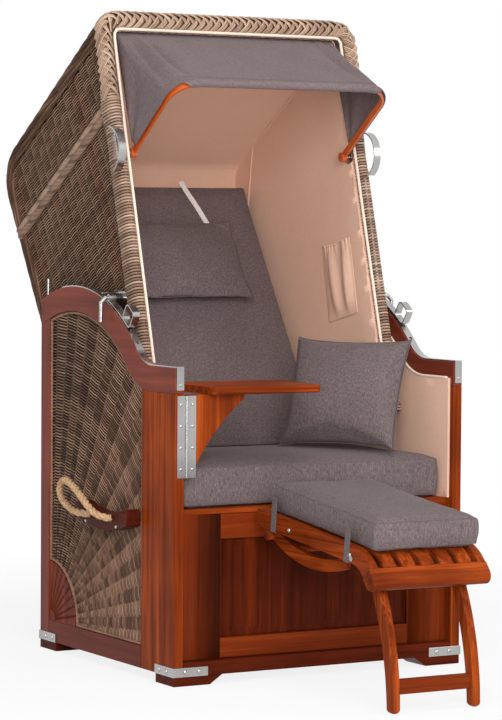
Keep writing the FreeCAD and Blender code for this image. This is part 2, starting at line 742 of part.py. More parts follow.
def make_hood_panels():
    """Roof with its rounded rear corner, and the back below it, each with raised stakes."""
    below_corner = side_slab(-HOOD_OUT, HOOD_OUT, hood_point(BRAID_PROUD + HOOD_CORNER, -HOOD_CORNER),
                             hood_point(BRAID_PROUD + HOOD_CORNER, 2.0 * HOOD_CORNER),
                             hood_point(BACK_LENGTH, 2.0 * HOOD_CORNER), hood_point(BACK_LENGTH, -HOOD_CORNER))
    shell = [hood_shell(-HOOD_IN, HOOD_IN, HOOD_WEAVE, HOOD_PANEL)]
    for side in (-1.0, 1.0):
        edge = sorted((side * HOOD_IN, side * (HOOD_IN - HOOD_EDGE)))
        shell.append(hood_shell(edge[0], edge[1], -HOOD_EDGE_RISE, HOOD_WEAVE))
    high = hood_corner(0.0)
    low = hood_corner(HOOD_WEAVE)
    count = int((HOOD_IN - HOOD_EDGE - HOOD_RIB / 2.0) / HOOD_RIB_STEP)
    for stake in range(-count, count + 1):
        near = stake * HOOD_RIB_STEP - HOOD_RIB / 2.0
        far = near + HOOD_RIB
        shell.append(side_slab(near, far, roof_front(0.0), high[0], low[0], roof_front(HOOD_WEAVE)))
        shell.append(side_slab(near, far, high[2], hood_point(BACK_LENGTH, 0.0),
                               hood_point(BACK_LENGTH, HOOD_WEAVE), low[2]))
    whole = fused(*shell)
    keep("hood_roof", whole.cut(below_corner))
    keep("hood_back", whole.common(below_corner))
    outer_inset = HOOD_PANEL + JOINT_GAP
    outer = side_slab(-HOOD_IN + JOINT_GAP, HOOD_IN - JOINT_GAP, *hood_outline(outer_inset))
    start, middle, end = hood_corner(outer_inset + HOOD_LINING)
    ahead = front_point(0.0, BASE_DEPTH)
    hollow = side_slab(-LINING_IN, LINING_IN, roof_front(outer_inset + HOOD_LINING), start, (middle, end),
                       hood_point(2.0 * BACK_LENGTH, outer_inset + HOOD_LINING),
                       (ahead[0], -ARM_TOP), ahead)
    keep("hood_lining", outer.cut(hollow))


def front_frame_slab(outline, depth):
    """Slab on the hood's front edge; the outline gives x and the distance below the top."""
    wire = loop(lambda x, below: Vector(x, *front_point(below, 0.0)), outline[0], outline[1:])
    return Part.Face(wire).extrude(Vector(0, *FRONT_OUT) * depth)


def in_front(edge, depth):
    """True for an edge that lies wholly in the front face of a rim."""
    plane = Vector(0, *front_point(0.0, depth))
    out = Vector(0, *FRONT_OUT)
    return all(abs(corner.Point.sub(plane).dot(out)) < 0.01 for corner in edge.Vertexes)


def make_hood_rim():
    outer = HOOD_OUT + BRAID_LIP
    inner = outer - BRAID_WIDTH
    turn = BRAID_CORNER
    inner_turn = max(BRAID_CORNER - BRAID_WIDTH, BRAID_SLOPE + 2.0)
    bend = 1.0 - math.sqrt(0.5)
    outline = [
        (-outer, BRAID_LENGTH), (-outer, turn),
        ((-outer + bend * turn, bend * turn), (-outer + turn, 0.0)), (outer - turn, 0.0),
        ((outer - bend * turn, bend * turn), (outer, turn)), (outer, BRAID_LENGTH),
        (inner, BRAID_LENGTH), (inner, BRAID_WIDTH + inner_turn),
        ((inner - bend * inner_turn, BRAID_WIDTH + bend * inner_turn), (inner - inner_turn, BRAID_WIDTH)),
        (-inner + inner_turn, BRAID_WIDTH),
        ((-inner + bend * inner_turn, BRAID_WIDTH + bend * inner_turn), (-inner, BRAID_WIDTH + inner_turn)),
        (-inner, BRAID_LENGTH)]
    braid = front_frame_slab(outline, RIM_DEPTH)
    across = Vector(1, 0, 0)
    low_end = front_point(BRAID_LENGTH, RIM_DEPTH)[1]
    keep("hood_braid", slope_edges(
        braid, BRAID_SLOPE,
        lambda edge: in_front(edge, RIM_DEPTH)
        and not (along(edge, across) and edge.CenterOfMass.z < low_end + 1.0)))
    wrap_inner = LINING_IN
    wrap_outer = LINING_IN + WRAP_WIDTH
    foot = front_below(hood_outline(0.0)[0][1])
    wrap = front_frame_slab([(wrap_inner, foot), (wrap_outer, foot), (wrap_outer, BRAID_LENGTH),
                             (wrap_inner, BRAID_LENGTH)], WRAP_DEPTH)
    upward = Vector(0, *FRONT_UP)
    wrap = round_edges(wrap, WRAP_ROUND, lambda edge: in_front(edge, WRAP_DEPTH) and along(edge, upward))
    keep_both("hood_wraps", wrap)
    return wrap_outer


def make_hood_handles(wrap_outer):
    """Half rings of flat steel on a plate at the side of the wrapped edge."""
    half = HANDLE_HEIGHT / 2.0
    mid = HANDLE_BELOW_TOP
    root = HANDLE_TAB
    thick = HANDLE_STRIP

    def strip_point(below, out):
        return front_point(mid + below, out)

    plate = side_slab(wrap_outer, wrap_outer + thick, strip_point(-half, 0.0), strip_point(half, 0.0),
                      strip_point(half, root), strip_point(-half, root))
    ring = side_slab(
        wrap_outer, wrap_outer + thick + HANDLE_WIDTH,
        strip_point(-half, root - thick), strip_point(-half, root),
        (strip_point(0.0, root + HANDLE_REACH), strip_point(half, root)), strip_point(half, root - thick),
        strip_point(half - thick, root - thick), strip_point(half - thick, root),
        (strip_point(0.0, root + HANDLE_REACH - thick), strip_point(-half + thick, root)),
        strip_point(-half + thick, root - thick))
    handle = fused(plate, ring)
    keep_both("hood_handles", handle)


def make_pivots():
    """Steel uprights on the seat deck, each with the pin that the hood turns on."""
    outer = WALL_IN - LINING
    inner = outer - PIVOT_PLATE
    half = PIVOT_PLATE_WIDTH / 2.0
    upright = side_slab(inner, outer, (PIVOT_Y - half, SEAT_HEIGHT), (PIVOT_Y - half, PIVOT_Z),
                        ((PIVOT_Y, PIVOT_Z + half), (PIVOT_Y + half, PIVOT_Z)), (PIVOT_Y + half, SEAT_HEIGHT))
    pin = x_rod(HOOD_IN + 1.0, outer, PIVOT_Y, PIVOT_Z, PIVOT_PIN)
    pivot = fused(upright, pin)
    keep_both("hood_pivots", pivot)


def make_lock_plates():
    """Polished plate on each hood side, with its release rod."""
    high = LOCK_PLATE_LOW + LOCK_PLATE_HEIGHT
    plate = lock_plate_slab(HOOD_OUT, HOOD_OUT + LOCK_PLATE)
    thin = x_rod(HOOD_OUT, HOOD_OUT + LOCK_PLATE + RELEASE_ROD_LENGTH, LATCH_PIN_Y + RELEASE_ROD_BACK,
                 high - 2.0 * RELEASE_ROD, RELEASE_ROD)
    whole = fused(plate, thin)
    keep_both("lock_plates", whole)


def make_latches():
    """Bent pins on the hood, and the sprung straps with loop grips that turn on them."""
    start = HOOD_OUT + LOCK_PLATE
    y = LATCH_PIN_Y
    z = LATCH_PIN_Z
    elbow = LATCH_PIN_REACH - LATCH_PIN_BEND
    path = Part.makePolygon([Vector(start, y, z), Vector(elbow, y, z),
                             Vector(LATCH_PIN_REACH, y, z - LATCH_PIN_BEND),
                             Vector(LATCH_PIN_REACH, y, z - LATCH_PIN_DROP)])
    ring = Part.Wire(Part.makeCircle(LATCH_PIN, Vector(start, y, z), Vector(1, 0, 0)))
    pin = path.makePipeShell([ring], True, False, MITRED)
    keep_both("latch_pins", pin)

    pivot = (PIVOT_Y, PIVOT_Z)
    low = ARCH_RADIUS + STRIP + LATCH_LIFT
    high = low + LATCH_STRAP
    pin_angle = math.degrees(math.atan2(z - PIVOT_Z, y - PIVOT_Y))
    mid_angle = (pin_angle + LATCH_RING_ANGLE) / 2.0
    x0 = WALL_MID - LATCH_WIDTH / 2.0
    x1 = WALL_MID + LATCH_WIDTH / 2.0
    strap = side_slab(
        x0, x1, on_circle(pivot, low, pin_angle),
        (on_circle(pivot, low, mid_angle), on_circle(pivot, low, LATCH_RING_ANGLE)),
        on_circle(pivot, high, LATCH_RING_ANGLE),
        (on_circle(pivot, high, mid_angle), on_circle(pivot, high, pin_angle)))
    eye = x_rod(x0, x1, y, z, LATCH_EYE)
    half = LATCH_RING / 2.0
    outer = box(x0, x1, -half, half, 0.0, LATCH_RING)
    outer = round_edges(outer, LATCH_RING_ROUND, lambda edge: along(edge, Vector(1, 0, 0)))
    inset = LATCH_STRAP
    hollow = box(x0 - 1.0, x1 + 1.0, -half + inset, half - inset, inset, LATCH_RING - inset)
    hollow = round_edges(hollow, LATCH_RING_ROUND - inset, lambda edge: along(edge, Vector(1, 0, 0)))
    grip = outer.cut(hollow)
    grip.rotate(Vector(0, 0, 0), Vector(1, 0, 0), LATCH_RING_ANGLE - 90.0)
    grip.translate(Vector(0, *on_circle(pivot, low, LATCH_RING_ANGLE)))
    bore = x_rod(x0 - 1.0, x1 + 1.0, y, z, LATCH_PIN + RUN_GAP)
    keep_pair("latch", fused(strap, eye, grip).cut(bore))


# Awning
def bow_point(reach, side):
    """Point in the awning's side view: along the bow from its pivot, and square above it."""
    turn = math.radians(BOW_RISE)
    return (BOW_PIVOT_Y - reach * math.cos(turn) + side * math.sin(turn),
            BOW_PIVOT_Z + reach * math.sin(turn) + side * math.cos(turn))


def make_awning_bow():
    half = BOW_HALF_WIDTH
    turn = BOW_CORNER
    bend = turn * (1.0 - math.sqrt(0.5))

    def place(x, reach):
        return Vector(x, *bow_point(reach, 0.0))

    reach = BOW_REACH
    path = Part.Wire([
        Part.LineSegment(place(-half, 0.0), place(-half, reach - turn)).toShape(),
        Part.Arc(place(-half, reach - turn), place(-half + bend, reach - bend),
                 place(-half + turn, reach)).toShape(),
        Part.LineSegment(place(-half + turn, reach), place(half - turn, reach)).toShape(),
        Part.Arc(place(half - turn, reach), place(half - bend, reach - bend),
                 place(half, reach - turn)).toShape(),
        Part.LineSegment(place(half, reach - turn), place(half, 0.0)).toShape()])
    def bar_corner(across, side):
        return Vector(-half + across * BOW_BAR / 2.0, *bow_point(0.0, side * BOW_BAR_WIDTH / 2.0))

    corners = [bar_corner(-1, -1), bar_corner(1, -1), bar_corner(1, 1), bar_corner(-1, 1), bar_corner(-1, -1)]
    bow = path.makePipe(Part.Face(Part.makePolygon(corners)))
    for side in (-1.0, 1.0):
        x = side * half
        eye = x_rod(x - BOW_EYE_WIDTH / 2.0, x + BOW_EYE_WIDTH / 2.0, BOW_PIVOT_Y, BOW_PIVOT_Z, BOW_EYE)
        bow = fused(bow, eye)
    bore = x_rod(-half - BOW_EYE, half + BOW_EYE, BOW_PIVOT_Y, BOW_PIVOT_Z, BOW_PIN + RUN_GAP)
    keep("awning_bow", bow.cut(bore))
    disc = x_rod(LINING_IN - CLAMP_THICK, LINING_IN, BOW_PIVOT_Y, BOW_PIVOT_Z, CLAMP_DISC)
    pin = x_rod(half - BOW_EYE_WIDTH / 2.0, LINING_IN, BOW_PIVOT_Y, BOW_PIVOT_Z, BOW_PIN)
    clamp = fused(disc, pin)
    keep_both("bow_clamps", clamp)


def make_canopy():
    """Awning cloth: a top sheet hemmed round the bow, and folded gussets at its sides."""
    seam = front_point(BRAID_WIDTH + SOFT_GAP + CANOPY_CLOTH, 0.0)
    bar = bow_point(BOW_REACH, 0.0)
    inner = math.hypot(BOW_BAR_WIDTH, BOW_BAR) / 2.0 + CANOPY_HEM_GAP
    outer = inner + CANOPY_CLOTH
    span = math.hypot(seam[0] - bar[0], seam[1] - bar[1])
    slope = math.degrees(math.atan2(seam[1] - bar[1], seam[0] - bar[0]))
    length = math.sqrt(span ** 2 - inner ** 2)
    tilt = math.degrees(math.asin(inner / span))
    touch = slope + 90.0 - tilt
    hem_mid = touch + CANOPY_HEM_TURN / 2.0
    hem_end = touch + CANOPY_HEM_TURN
    width = BOW_HALF_WIDTH + BOW_EYE_WIDTH / 2.0 + CANOPY_SIDE_GAP
    straight = BOW_HALF_WIDTH - BOW_CORNER

    def above(turn, radius):
        return on_circle(bar, radius, turn)

    run = lean(90.0 - (slope - tilt))
    lift = (-run[1], run[0])
    seam_low = (bar[0] + inner * lift[0] + length * run[0], bar[1] + inner * lift[1] + length * run[1])
    seam_high = (seam_low[0] + CANOPY_CLOTH * lift[0], seam_low[1] + CANOPY_CLOTH * lift[1])
    sheet = side_slab(-width, width, above(touch, inner), above(touch, outer), seam_high, seam_low)
    hem = side_slab(-straight, straight, above(touch, inner), above(touch, outer),
                    (above(hem_mid, outer), above(hem_end, outer)), above(hem_end, inner),
                    (above(hem_mid, inner), above(touch, inner)))
    hub = bow_point(2.0 * BOW_EYE, BOW_EYE)
    front = above(touch, inner)
    flat = width - CANOPY_CLOTH

    def gusset_point(fold, reach):
        """Point of the gusset: along its top edge, and part of the way from hub to edge."""
        share = fold / GUSSET_FOLDS
        edge = (front[0] + share * (seam_low[0] - front[0]), front[1] + share * (seam_low[1] - front[1]))
        x = flat + GUSSET_FOLD if 0.0 < reach < 1.0 and fold % 2 else flat
        return Vector(x, hub[0] + reach * (edge[0] - hub[0]), hub[1] + reach * (edge[1] - hub[1]))

    pleats = []
    for fold in range(GUSSET_FOLDS):
        low_0, low_1 = gusset_point(fold, GUSSET_FULL), gusset_point(fold + 1, GUSSET_FULL)
        top_0, top_1 = gusset_point(fold, 1.0), gusset_point(fold + 1, 1.0)
        for corners in ((Vector(flat, *hub), low_0, low_1), (low_0, top_0, top_1), (low_0, top_1, low_1)):
            face = Part.Face(Part.makePolygon([*corners, corners[0]]))
            pleats.append(face.extrude(Vector(CANOPY_CLOTH, 0, 0)))
    gusset = fused(*pleats)
    keep("canopy", fused(sheet, hem, gusset, mirrored(gusset)))


# Cushions
def crowned_block(width, depth, thick, crown):
    """Box cushion on z = 0: swelling sides, drawn-in seams and a crowned top."""
    shoulder = thick - crown

    def profile(size):
        half = size / 2.0
        seam = half - CUSHION_SWELL
        return [(-seam, 0.0), (seam, 0.0), ((half, shoulder / 2.0), (seam, shoulder)),
                ((0.0, thick), (-seam, shoulder)), ((-half, shoulder / 2.0), (-seam, 0.0))]

    return front_slab(-depth / 2.0, depth / 2.0, *profile(width)).common(
        side_slab(-width / 2.0, width / 2.0, *profile(depth)))


def pillow(width, height, thick):
    """Knife-edge pillow round z = 0 with drawn-in sides and pointed corners."""
    x = width / 2.0
    y = height / 2.0

    def lens(half, rise):
        tip = half + PILLOW_EDGE
        return [(-tip, 0.0), ((0.0, rise), (tip, 0.0)), ((0.0, -rise), (-tip, 0.0))]

    outline = loop(lambda a, b: Vector(a, b, -thick), (-x, -y), [
        ((0.0, -y + PILLOW_DRAW), (x, -y)), ((x - PILLOW_DRAW, 0.0), (x, y)),
        ((0.0, y - PILLOW_DRAW), (-x, y)), ((-x + PILLOW_DRAW, 0.0), (-x, -y))])
    lengthwise = front_slab(-y, y, *lens(x, thick / 2.0))
    body = lengthwise.common(side_slab(-x, x, *lens(y, thick / 2.0 + PILLOW_EDGE)))
    return body.common(Part.Face(outline).extrude(Vector(0, 0, 2.0 * thick)))


def placed(shape, origin, across, upward):
    """Turn a piece built on z = 0 so that its x, y and z follow the given directions."""
    out = across.cross(upward)
    matrix = FreeCAD.Matrix(across.x, upward.x, out.x, origin.x, across.y, upward.y, out.y, origin.y,
                            across.z, upward.z, out.z, origin.z, 0, 0, 0, 1)
    shape.Placement = FreeCAD.Placement(matrix)
    return shape


def on_back(shape, x, below, inset):
    """Lay a piece on the hood's back, facing the sitter."""
    return placed(shape, Vector(x, *hood_point(below, inset)), Vector(1, 0, 0), Vector(0, *BACK_UP))


def moved_onto(shape, seat, way):
    """Move a soft piece along a direction until it lies just clear of another."""
    for _ in range(12):
        shape.translate(way * (shape.distToShape(seat)[0] - SOFT_GAP))
    return shape


def make_seat_cushion():
    width = 2.0 * (WALL_IN - LINING - SOFT_GAP)
    depth = SEAT_CUSHION_REAR - SEAT_CUSHION_FRONT
    seat = crowned_block(width, depth, SEAT_CUSHION, SEAT_CROWN)
    seat.translate(Vector(0, (SEAT_CUSHION_FRONT + SEAT_CUSHION_REAR) / 2.0, SEAT_HEIGHT + SOFT_GAP))
    keep("seat_cushion", seat)


def make_back_cushion():
    """Back cushion, the pillow at head height and the pair of straps that it hangs by."""
    back_inset = HOOD_PANEL + JOINT_GAP + HOOD_LINING + SOFT_GAP
    middle = (BACK_CUSHION_TOP + BACK_CUSHION_BOTTOM) / 2.0
    length = BACK_CUSHION_BOTTOM - BACK_CUSHION_TOP
    back = crowned_block(BACK_CUSHION_WIDTH, length, BACK_CUSHION, BACK_CROWN)
    keep("back_cushion", on_back(back, 0.0, middle, back_inset))
    head = pillow(HEAD_PILLOW_WIDTH, HEAD_PILLOW_HEIGHT, HEAD_PILLOW)
    head = on_back(head, 0.0, HEAD_PILLOW_BELOW, back_inset + BACK_CUSHION + HEAD_PILLOW)
    keep("head_pillow", moved_onto(head, nodes["back_cushion"], Vector(0, *ROOF_REAR)))

    def face_at(below):
        """Inset of the crowned front of the cushion."""
        share = (below - middle) / (length / 2.0 - CUSHION_SWELL)
        return back_inset + BACK_CUSHION - BACK_CROWN * share ** 2 + SOFT_GAP

    top = BACK_CUSHION_TOP + CUSHION_SWELL
    low = HEAD_PILLOW_BELOW - HEAD_PILLOW_HEIGHT / 2.0 + PILLOW_DRAW
    half = PILLOW_STRAP_WIDTH / 2.0
    corners = [(PILLOW_STRAP_TOP_X - half, top), (PILLOW_STRAP_TOP_X + half, top),
               (PILLOW_STRAP_LOW_X + half, low), (PILLOW_STRAP_LOW_X - half, low)]
    wire = loop(lambda x, below: Vector(x, *hood_point(below, face_at(below) + SOFT_GAP)),
                corners[0], corners[1:])
    strap = Part.Face(wire).extrude(Vector(0, -ROOF_REAR[0], -ROOF_REAR[1]) * PILLOW_STRAP)
    keep_both("pillow_straps", strap)


def make_throw_pillow():
    """Loose pillow that stands on the seat, turned and leaning back."""
    turn = math.radians(THROW_PILLOW_TURN)
    tip = math.radians(THROW_PILLOW_LEAN)
    across = Vector(math.cos(turn), -math.sin(turn), 0)
    rear = Vector(math.sin(turn), math.cos(turn), 0)
    upward = rear * math.sin(tip) + Vector(0, 0, math.cos(tip))
    throw = placed(pillow(THROW_PILLOW_WIDTH, THROW_PILLOW_HEIGHT, THROW_PILLOW),
                   Vector(WALL_IN - THROW_PILLOW_INSET, THROW_PILLOW_Y, 2.0 * SEAT_HEIGHT), across, upward)
    keep("throw_pillow", moved_onto(throw, nodes["seat_cushion"], Vector(0, 0, -1)))


def make_lining_pocket():
    """Flat pocket sewn to the lining on the right."""
    inner = LINING_IN - SOFT_GAP
    turn = math.radians(POCKET_TURN)

    def pocket_point(share_y, share_z):
        y = share_y * POCKET_WIDTH / 2.0
        z = share_z * POCKET_HEIGHT / 2.0
        return (POCKET_Y + y * math.cos(turn) + z * math.sin(turn),
                POCKET_Z - y * math.sin(turn) + z * math.cos(turn))

    def pocket_ring(x, size):
        corners = [pocket_point(-size, -size), pocket_point(size, -size), pocket_point(size, 1.0),
                   pocket_point(-size, 1.0)]
        return loop(lambda y, z: Vector(x, y, z), corners[0], corners[1:])

    rings = [pocket_ring(inner, 1.0), pocket_ring(inner - POCKET_THICK / 2.0, POCKET_SHOULDER),
             pocket_ring(inner - POCKET_THICK, POCKET_FACE)]
    keep("lining_pocket", Part.makeLoft(rings, True, True))


# Rope handles
def rounded_route(points):
    """Straight runs joined by tangent arcs, each as large as its runs allow."""
    radii = []
    edges = []
    here = points[0]
    for before, point, after in zip(points, points[1:], points[2:]):
        into = point.sub(before)
        out = after.sub(point)
        shorter = min(into.Length, out.Length)
        half_turn = into.getAngle(out) / 2.0
        back = ROPE_TURN_SHARE * shorter
        radius = back / math.tan(half_turn)
        start = point.sub(Vector(into).normalize() * back)
        end = point.add(Vector(out).normalize() * back)
        bulge = radius * (1.0 / math.cos(half_turn) - 1.0)
        centre_way = Vector(out).normalize().sub(Vector(into).normalize()).normalize()
        edges.append(Part.LineSegment(here, start).toShape())
        edges.append(Part.Arc(start, point.add(centre_way * bulge), end).toShape())
        radii.append(radius)
        here = end
    edges.append(Part.LineSegment(here, points[-1]).toShape())
    return Part.Wire(edges), radii


def make_rope_handles():
    rear = BLOCK_FRONT + BLOCK_LENGTH
    mid = BLOCK_FRONT + BLOCK_LENGTH / 2.0
    high = BLOCK_LOW + BLOCK_HEIGHT
    x0 = WALL_MID + WICKER / 2.0
    face_x = WALL_OUT + BLOCK_PROUD
    block = side_slab(x0, face_x, (BLOCK_FRONT, BLOCK_LOW), (BLOCK_FRONT, high),
                      ((mid, high - BLOCK_SAG), (rear, high)), (rear, BLOCK_LOW),
                      ((mid, BLOCK_LOW - BLOCK_SAG), (BLOCK_FRONT, BLOCK_LOW)))
    keep_both("handle_blocks", round_edges(block, BLOCK_ROUND, lambda edge: along(edge, Vector(1, 0, 0))))
    points = [Vector(face_x + out, y, z) for out, y, z in ROPE_ROUTE]
    path, radii = rounded_route(points)
    face = ring_of(points[0], points[1].sub(points[0]), ROPE, ROPE_SIDES)
    section = face.Area
    rope = path.makePipe(face)
    print("rope radii", [round(radius, 1) for radius in radii])
    print("rope length", round(path.Length, 1))
    print("rope volume as a share of section by length", round(rope.Volume / (section * path.Length), 4))
    keep_pair("rope", rope)


# Side table
def make_table():
    """Table top on a curved bracket board with a batten behind it."""
    inner = HINGE_X + HINGE_KNUCKLE + HINGE_EDGE_GAP
    tip = inner + BRACKET_REACH
    tip_low = TABLE_LOW - BRACKET_TIP
    foot = inner + BRACKET_FOOT
    run = Vector(foot - tip, 0, HINGE_LOW - tip_low)
    hollow = Vector(run.z, 0, -run.x).normalize() * BRACKET_HOLLOW
    middle = ((tip + foot) / 2.0 + hollow.x, (tip_low + HINGE_LOW) / 2.0 + hollow.z)
    bracket = front_slab(0.0, BRACKET_BOARD, (inner, HINGE_LOW), (inner, TABLE_LOW), (tip, TABLE_LOW),
                         (tip, tip_low), (middle, (foot, HINGE_LOW)))
    batten = box(tip - BATTEN_LENGTH, tip, BRACKET_BOARD, BRACKET_BOARD + BATTEN,
                 TABLE_LOW - BATTEN, TABLE_LOW)
    keep("table_bracket", bracket, batten)
    right = -TABLE_LEFT + TABLE_WIDTH
    top = box(-TABLE_LEFT, right, TABLE_FRONT, TABLE_FRONT + TABLE_DEPTH, TABLE_LOW, TABLE_TOP_Z)
    keep("table_top", round_edges(top, TABLE_CORNER, lambda edge: along(edge, Vector(0, 0, 1))))


def make_table_hinge():
    """Piano hinge: leaves on the post and on the bracket, with knuckles in turn on one pin."""
    def upright(low, high, radius):
        return rod(Vector(HINGE_X, HINGE_Y, low), Vector(HINGE_X, HINGE_Y, high), radius)

    length = (HINGE_HIGH - HINGE_LOW) / HINGE_KNUCKLES
    edge = HINGE_KNUCKLE + HINGE_EDGE_GAP
    leaves = {}
    for side in (-1.0, 1.0):
        near = HINGE_X + side * edge
        far = near + side * HINGE_LEAF_WIDTH
        leaf = [box(min(near, far), max(near, far), -HINGE_LEAF, 0.0, HINGE_LOW, HINGE_HIGH)]
        for knuckle in range(0 if side < 0.0 else 1, HINGE_KNUCKLES, 2):
            low = HINGE_LOW + knuckle * length + RUN_GAP
            high = low + length - 2.0 * RUN_GAP
            leaf.append(upright(low, high, HINGE_KNUCKLE))
            leaf.append(box(min(near, HINGE_X), max(near, HINGE_X), -HINGE_LEAF, 0.0, low, high))
        leaves[side] = leaf
    keep("table_hinge_post_leaf", fused(*leaves[-1.0], upright(HINGE_LOW, HINGE_HIGH, HINGE_PIN)))
    bore = upright(HINGE_LOW - HINGE_PIN, HINGE_HIGH + HINGE_PIN, HINGE_PIN + RUN_GAP)
    keep("table_hinge_swing_leaf", fused(*leaves[1.0]).cut(bore))


# Footrest, built level about the dowel that it hangs on and then tilted
REST_HALF = REST_WIDTH / 2.0
REST_CUSHION_FRONT = REST_STRAIGHT + REST_CUSHION_OVERHANG
FRONT_LEG_TIP_Y = -REST_STRAIGHT - FRONT_LEG_AHEAD
REST_IN = REST_HALF - REST_RAIL
BEND_CENTRE = (-REST_STRAIGHT, REST_TOP - REST_BEND)
BEND_END = 90.0 + REST_BEND_ANGLE
REAR_BOLT = (-REAR_LEG_BOLT_BACK, REST_TOP - REAR_LEG_BOLT_DROP)
FRONT_BOLT = on_circle(BEND_CENTRE, REST_BEND - FRONT_LEG_BOLT_DROP, 90.0 + FRONT_LEG_BOLT_ANGLE)


def tilted(shape):
    shape.rotate(Vector(0, 0, 0), Vector(1, 0, 0), REST_TILT)
    shape.translate(Vector(REST_X, REST_AXIS_Y, REST_AXIS_Z))
    return shape


def keep_tilted(name, *solids):
    keep(name, *[tilted(solid) for solid in solids])


def rest_world(point):
    """Place in the chair of a footrest point (y, z)."""
    turn = math.radians(REST_TILT)
    return (REST_AXIS_Y + point[0] * math.cos(turn) - point[1] * math.sin(turn),
            REST_AXIS_Z + point[0] * math.sin(turn) + point[1] * math.cos(turn))


def runner(x0, x1, thick, rear):
    """Bar along the footrest that turns down towards its front rail."""
    low = REST_TOP - thick
    inner = REST_BEND - thick
    mid = 90.0 + REST_BEND_ANGLE / 2.0
    return side_slab(
        x0, x1, (rear, low), (rear, REST_TOP), (-REST_STRAIGHT, REST_TOP),
        (on_circle(BEND_CENTRE, REST_BEND, mid), on_circle(BEND_CENTRE, REST_BEND, BEND_END)),
        on_circle(BEND_CENTRE, inner, BEND_END), (on_circle(BEND_CENTRE, inner, mid), (-REST_STRAIGHT, low)))


def make_footrest_rails():
    """Side rails, each with a lug for the rear leg and a socket for the dowel."""
    lug = 2.0 * LEG_BOLT_HEAD
    root = REST_TOP - REST_RAIL_HEIGHT / 2.0
    y, z = REAR_BOLT
    rail = fused(runner(REST_IN, REST_HALF, REST_RAIL_HEIGHT, REST_REAR),
                 side_slab(REST_IN, REST_HALF, (y - lug, root), (y - lug, z), ((y, z - lug), (y + lug, z)),
                           (y + lug, root)))
    for hole in (REAR_BOLT, FRONT_BOLT):
        rail = rail.cut(x_rod(0.0, REST_WIDTH, *hole, LEG_BOLT))
    socket = REST_HALF - REST_RAIL / 2.0
    rail = rail.cut(x_rod(0.0, socket, 0.0, 0.0, DOWEL))
    keep_tilted("footrest_rails", rail, mirrored(rail))
    under = REST_TOP - SLAT
    keep_tilted("footrest_cross_bars", x_rod(-socket, socket, 0.0, 0.0, DOWEL),
                box(-REST_IN, REST_IN, -CROSS_BAR_AT - CROSS_BAR, -CROSS_BAR_AT, under - CROSS_BAR, under))


def make_footrest_deck():
    """Round-nosed front rail and the slats that run down to it."""
    way = on_circle((0.0, 0.0), 1.0, BEND_END + 90.0)
    flat = REST_BAR - REST_RAIL_HEIGHT / 2.0

    def ahead(drop, run):
        near = on_circle(BEND_CENTRE, REST_BEND - drop, BEND_END)
        return (near[0] + run * way[0], near[1] + run * way[1])

    wide = REST_HALF + REST_BAR_OVERHANG
    keep_tilted("footrest_front_bar", side_slab(
        -wide, wide, ahead(0.0, 0.0), ahead(0.0, flat),
        (ahead(REST_RAIL_HEIGHT / 2.0, REST_BAR), ahead(REST_RAIL_HEIGHT, flat)),
        ahead(REST_RAIL_HEIGHT, 0.0)))
    gap = (2.0 * REST_IN - SLATS * SLAT_WIDTH) / (SLATS + 1)
    slats = []
    for slat in range(SLATS):
        x = -REST_IN + gap + slat * (SLAT_WIDTH + gap)
        slats.append(runner(x, x + SLAT_WIDTH, SLAT, -DOWEL - SLAT_REAR_GAP))
    keep_tilted("footrest_slats", *slats)


def bowed_leg(x0, x1, bolt, tip, bow):
    """Curved leg from its bolt to its tip; the bow is the rise of its curve."""
    run = (tip[0] - bolt[0], tip[1] - bolt[1])
    length = math.hypot(*run)
    way = (run[0] / length, run[1] / length)

    def at(reach, off):
        return (bolt[0] + reach * way[0] + off * way[1], bolt[1] + reach * way[1] - off * way[0])

    half = LEG_WIDTH / 2.0
    foot = LEG_FOOT_WIDTH / 2.0
    leg = side_slab(x0, x1, at(0.0, half), (at(length / 2.0, bow + half), at(length, foot)),
                    at(length, -foot), (at(length / 2.0, bow - half), at(0.0, -half)),
                    (at(-half, 0.0), at(0.0, half)))
    return leg.cut(x_rod(x0, x1, *bolt, LEG_BOLT + RUN_GAP))


def make_front_legs():
    """Legs that stand on the floor, cut level at their feet, with a flat stretcher."""
    inner = FRONT_LEG_OFFSET - FRONT_LEG / 2.0
    outer = FRONT_LEG_OFFSET + FRONT_LEG / 2.0
    leg = bowed_leg(inner, outer, rest_world(FRONT_BOLT), (FRONT_LEG_TIP_Y, -LEG_WIDTH), LEG_BOW)
    leg = leg.cut(box(inner, outer, -BASE_DEPTH, 0.0, -2.0 * LEG_WIDTH, 0.0))
    low = STRETCHER_LOW
    high = STRETCHER_LOW + STRETCHER_HEIGHT
    reach = leg.common(box(inner, outer, -BASE_DEPTH, 0.0, low, high)).BoundBox
    mid = (reach.YMin + reach.YMax) / 2.0
    stretcher = box(-inner, inner, mid - STRETCHER / 2.0, mid + STRETCHER / 2.0, low, high)
    legs = [leg, mirrored(leg), stretcher]
    for piece in legs:
        piece.translate(Vector(REST_X, 0, 0))
    keep("footrest_front_legs", *legs)


def make_rear_legs():
    """Legs folded up under the side rails, with a round stretcher."""
    outer = REST_IN - SOFT_GAP
    inner = outer - REAR_LEG
    leg = bowed_leg(inner, outer, REAR_BOLT, (REAR_BOLT[0] - REAR_LEG_LENGTH, REAR_BOLT[1]), -LEG_BOW)
    y = REAR_BOLT[0] - REAR_STRETCHER_AT
    half = STRETCHER / 2.0
    reach = leg.common(box(inner, outer, y - half, y + half, -BASE_DEPTH, 0.0)).BoundBox
    stretcher = x_rod(-inner, inner, y, (reach.ZMin + reach.ZMax) / 2.0, half)
    keep_tilted("footrest_rear_legs", leg, mirrored(leg), stretcher)


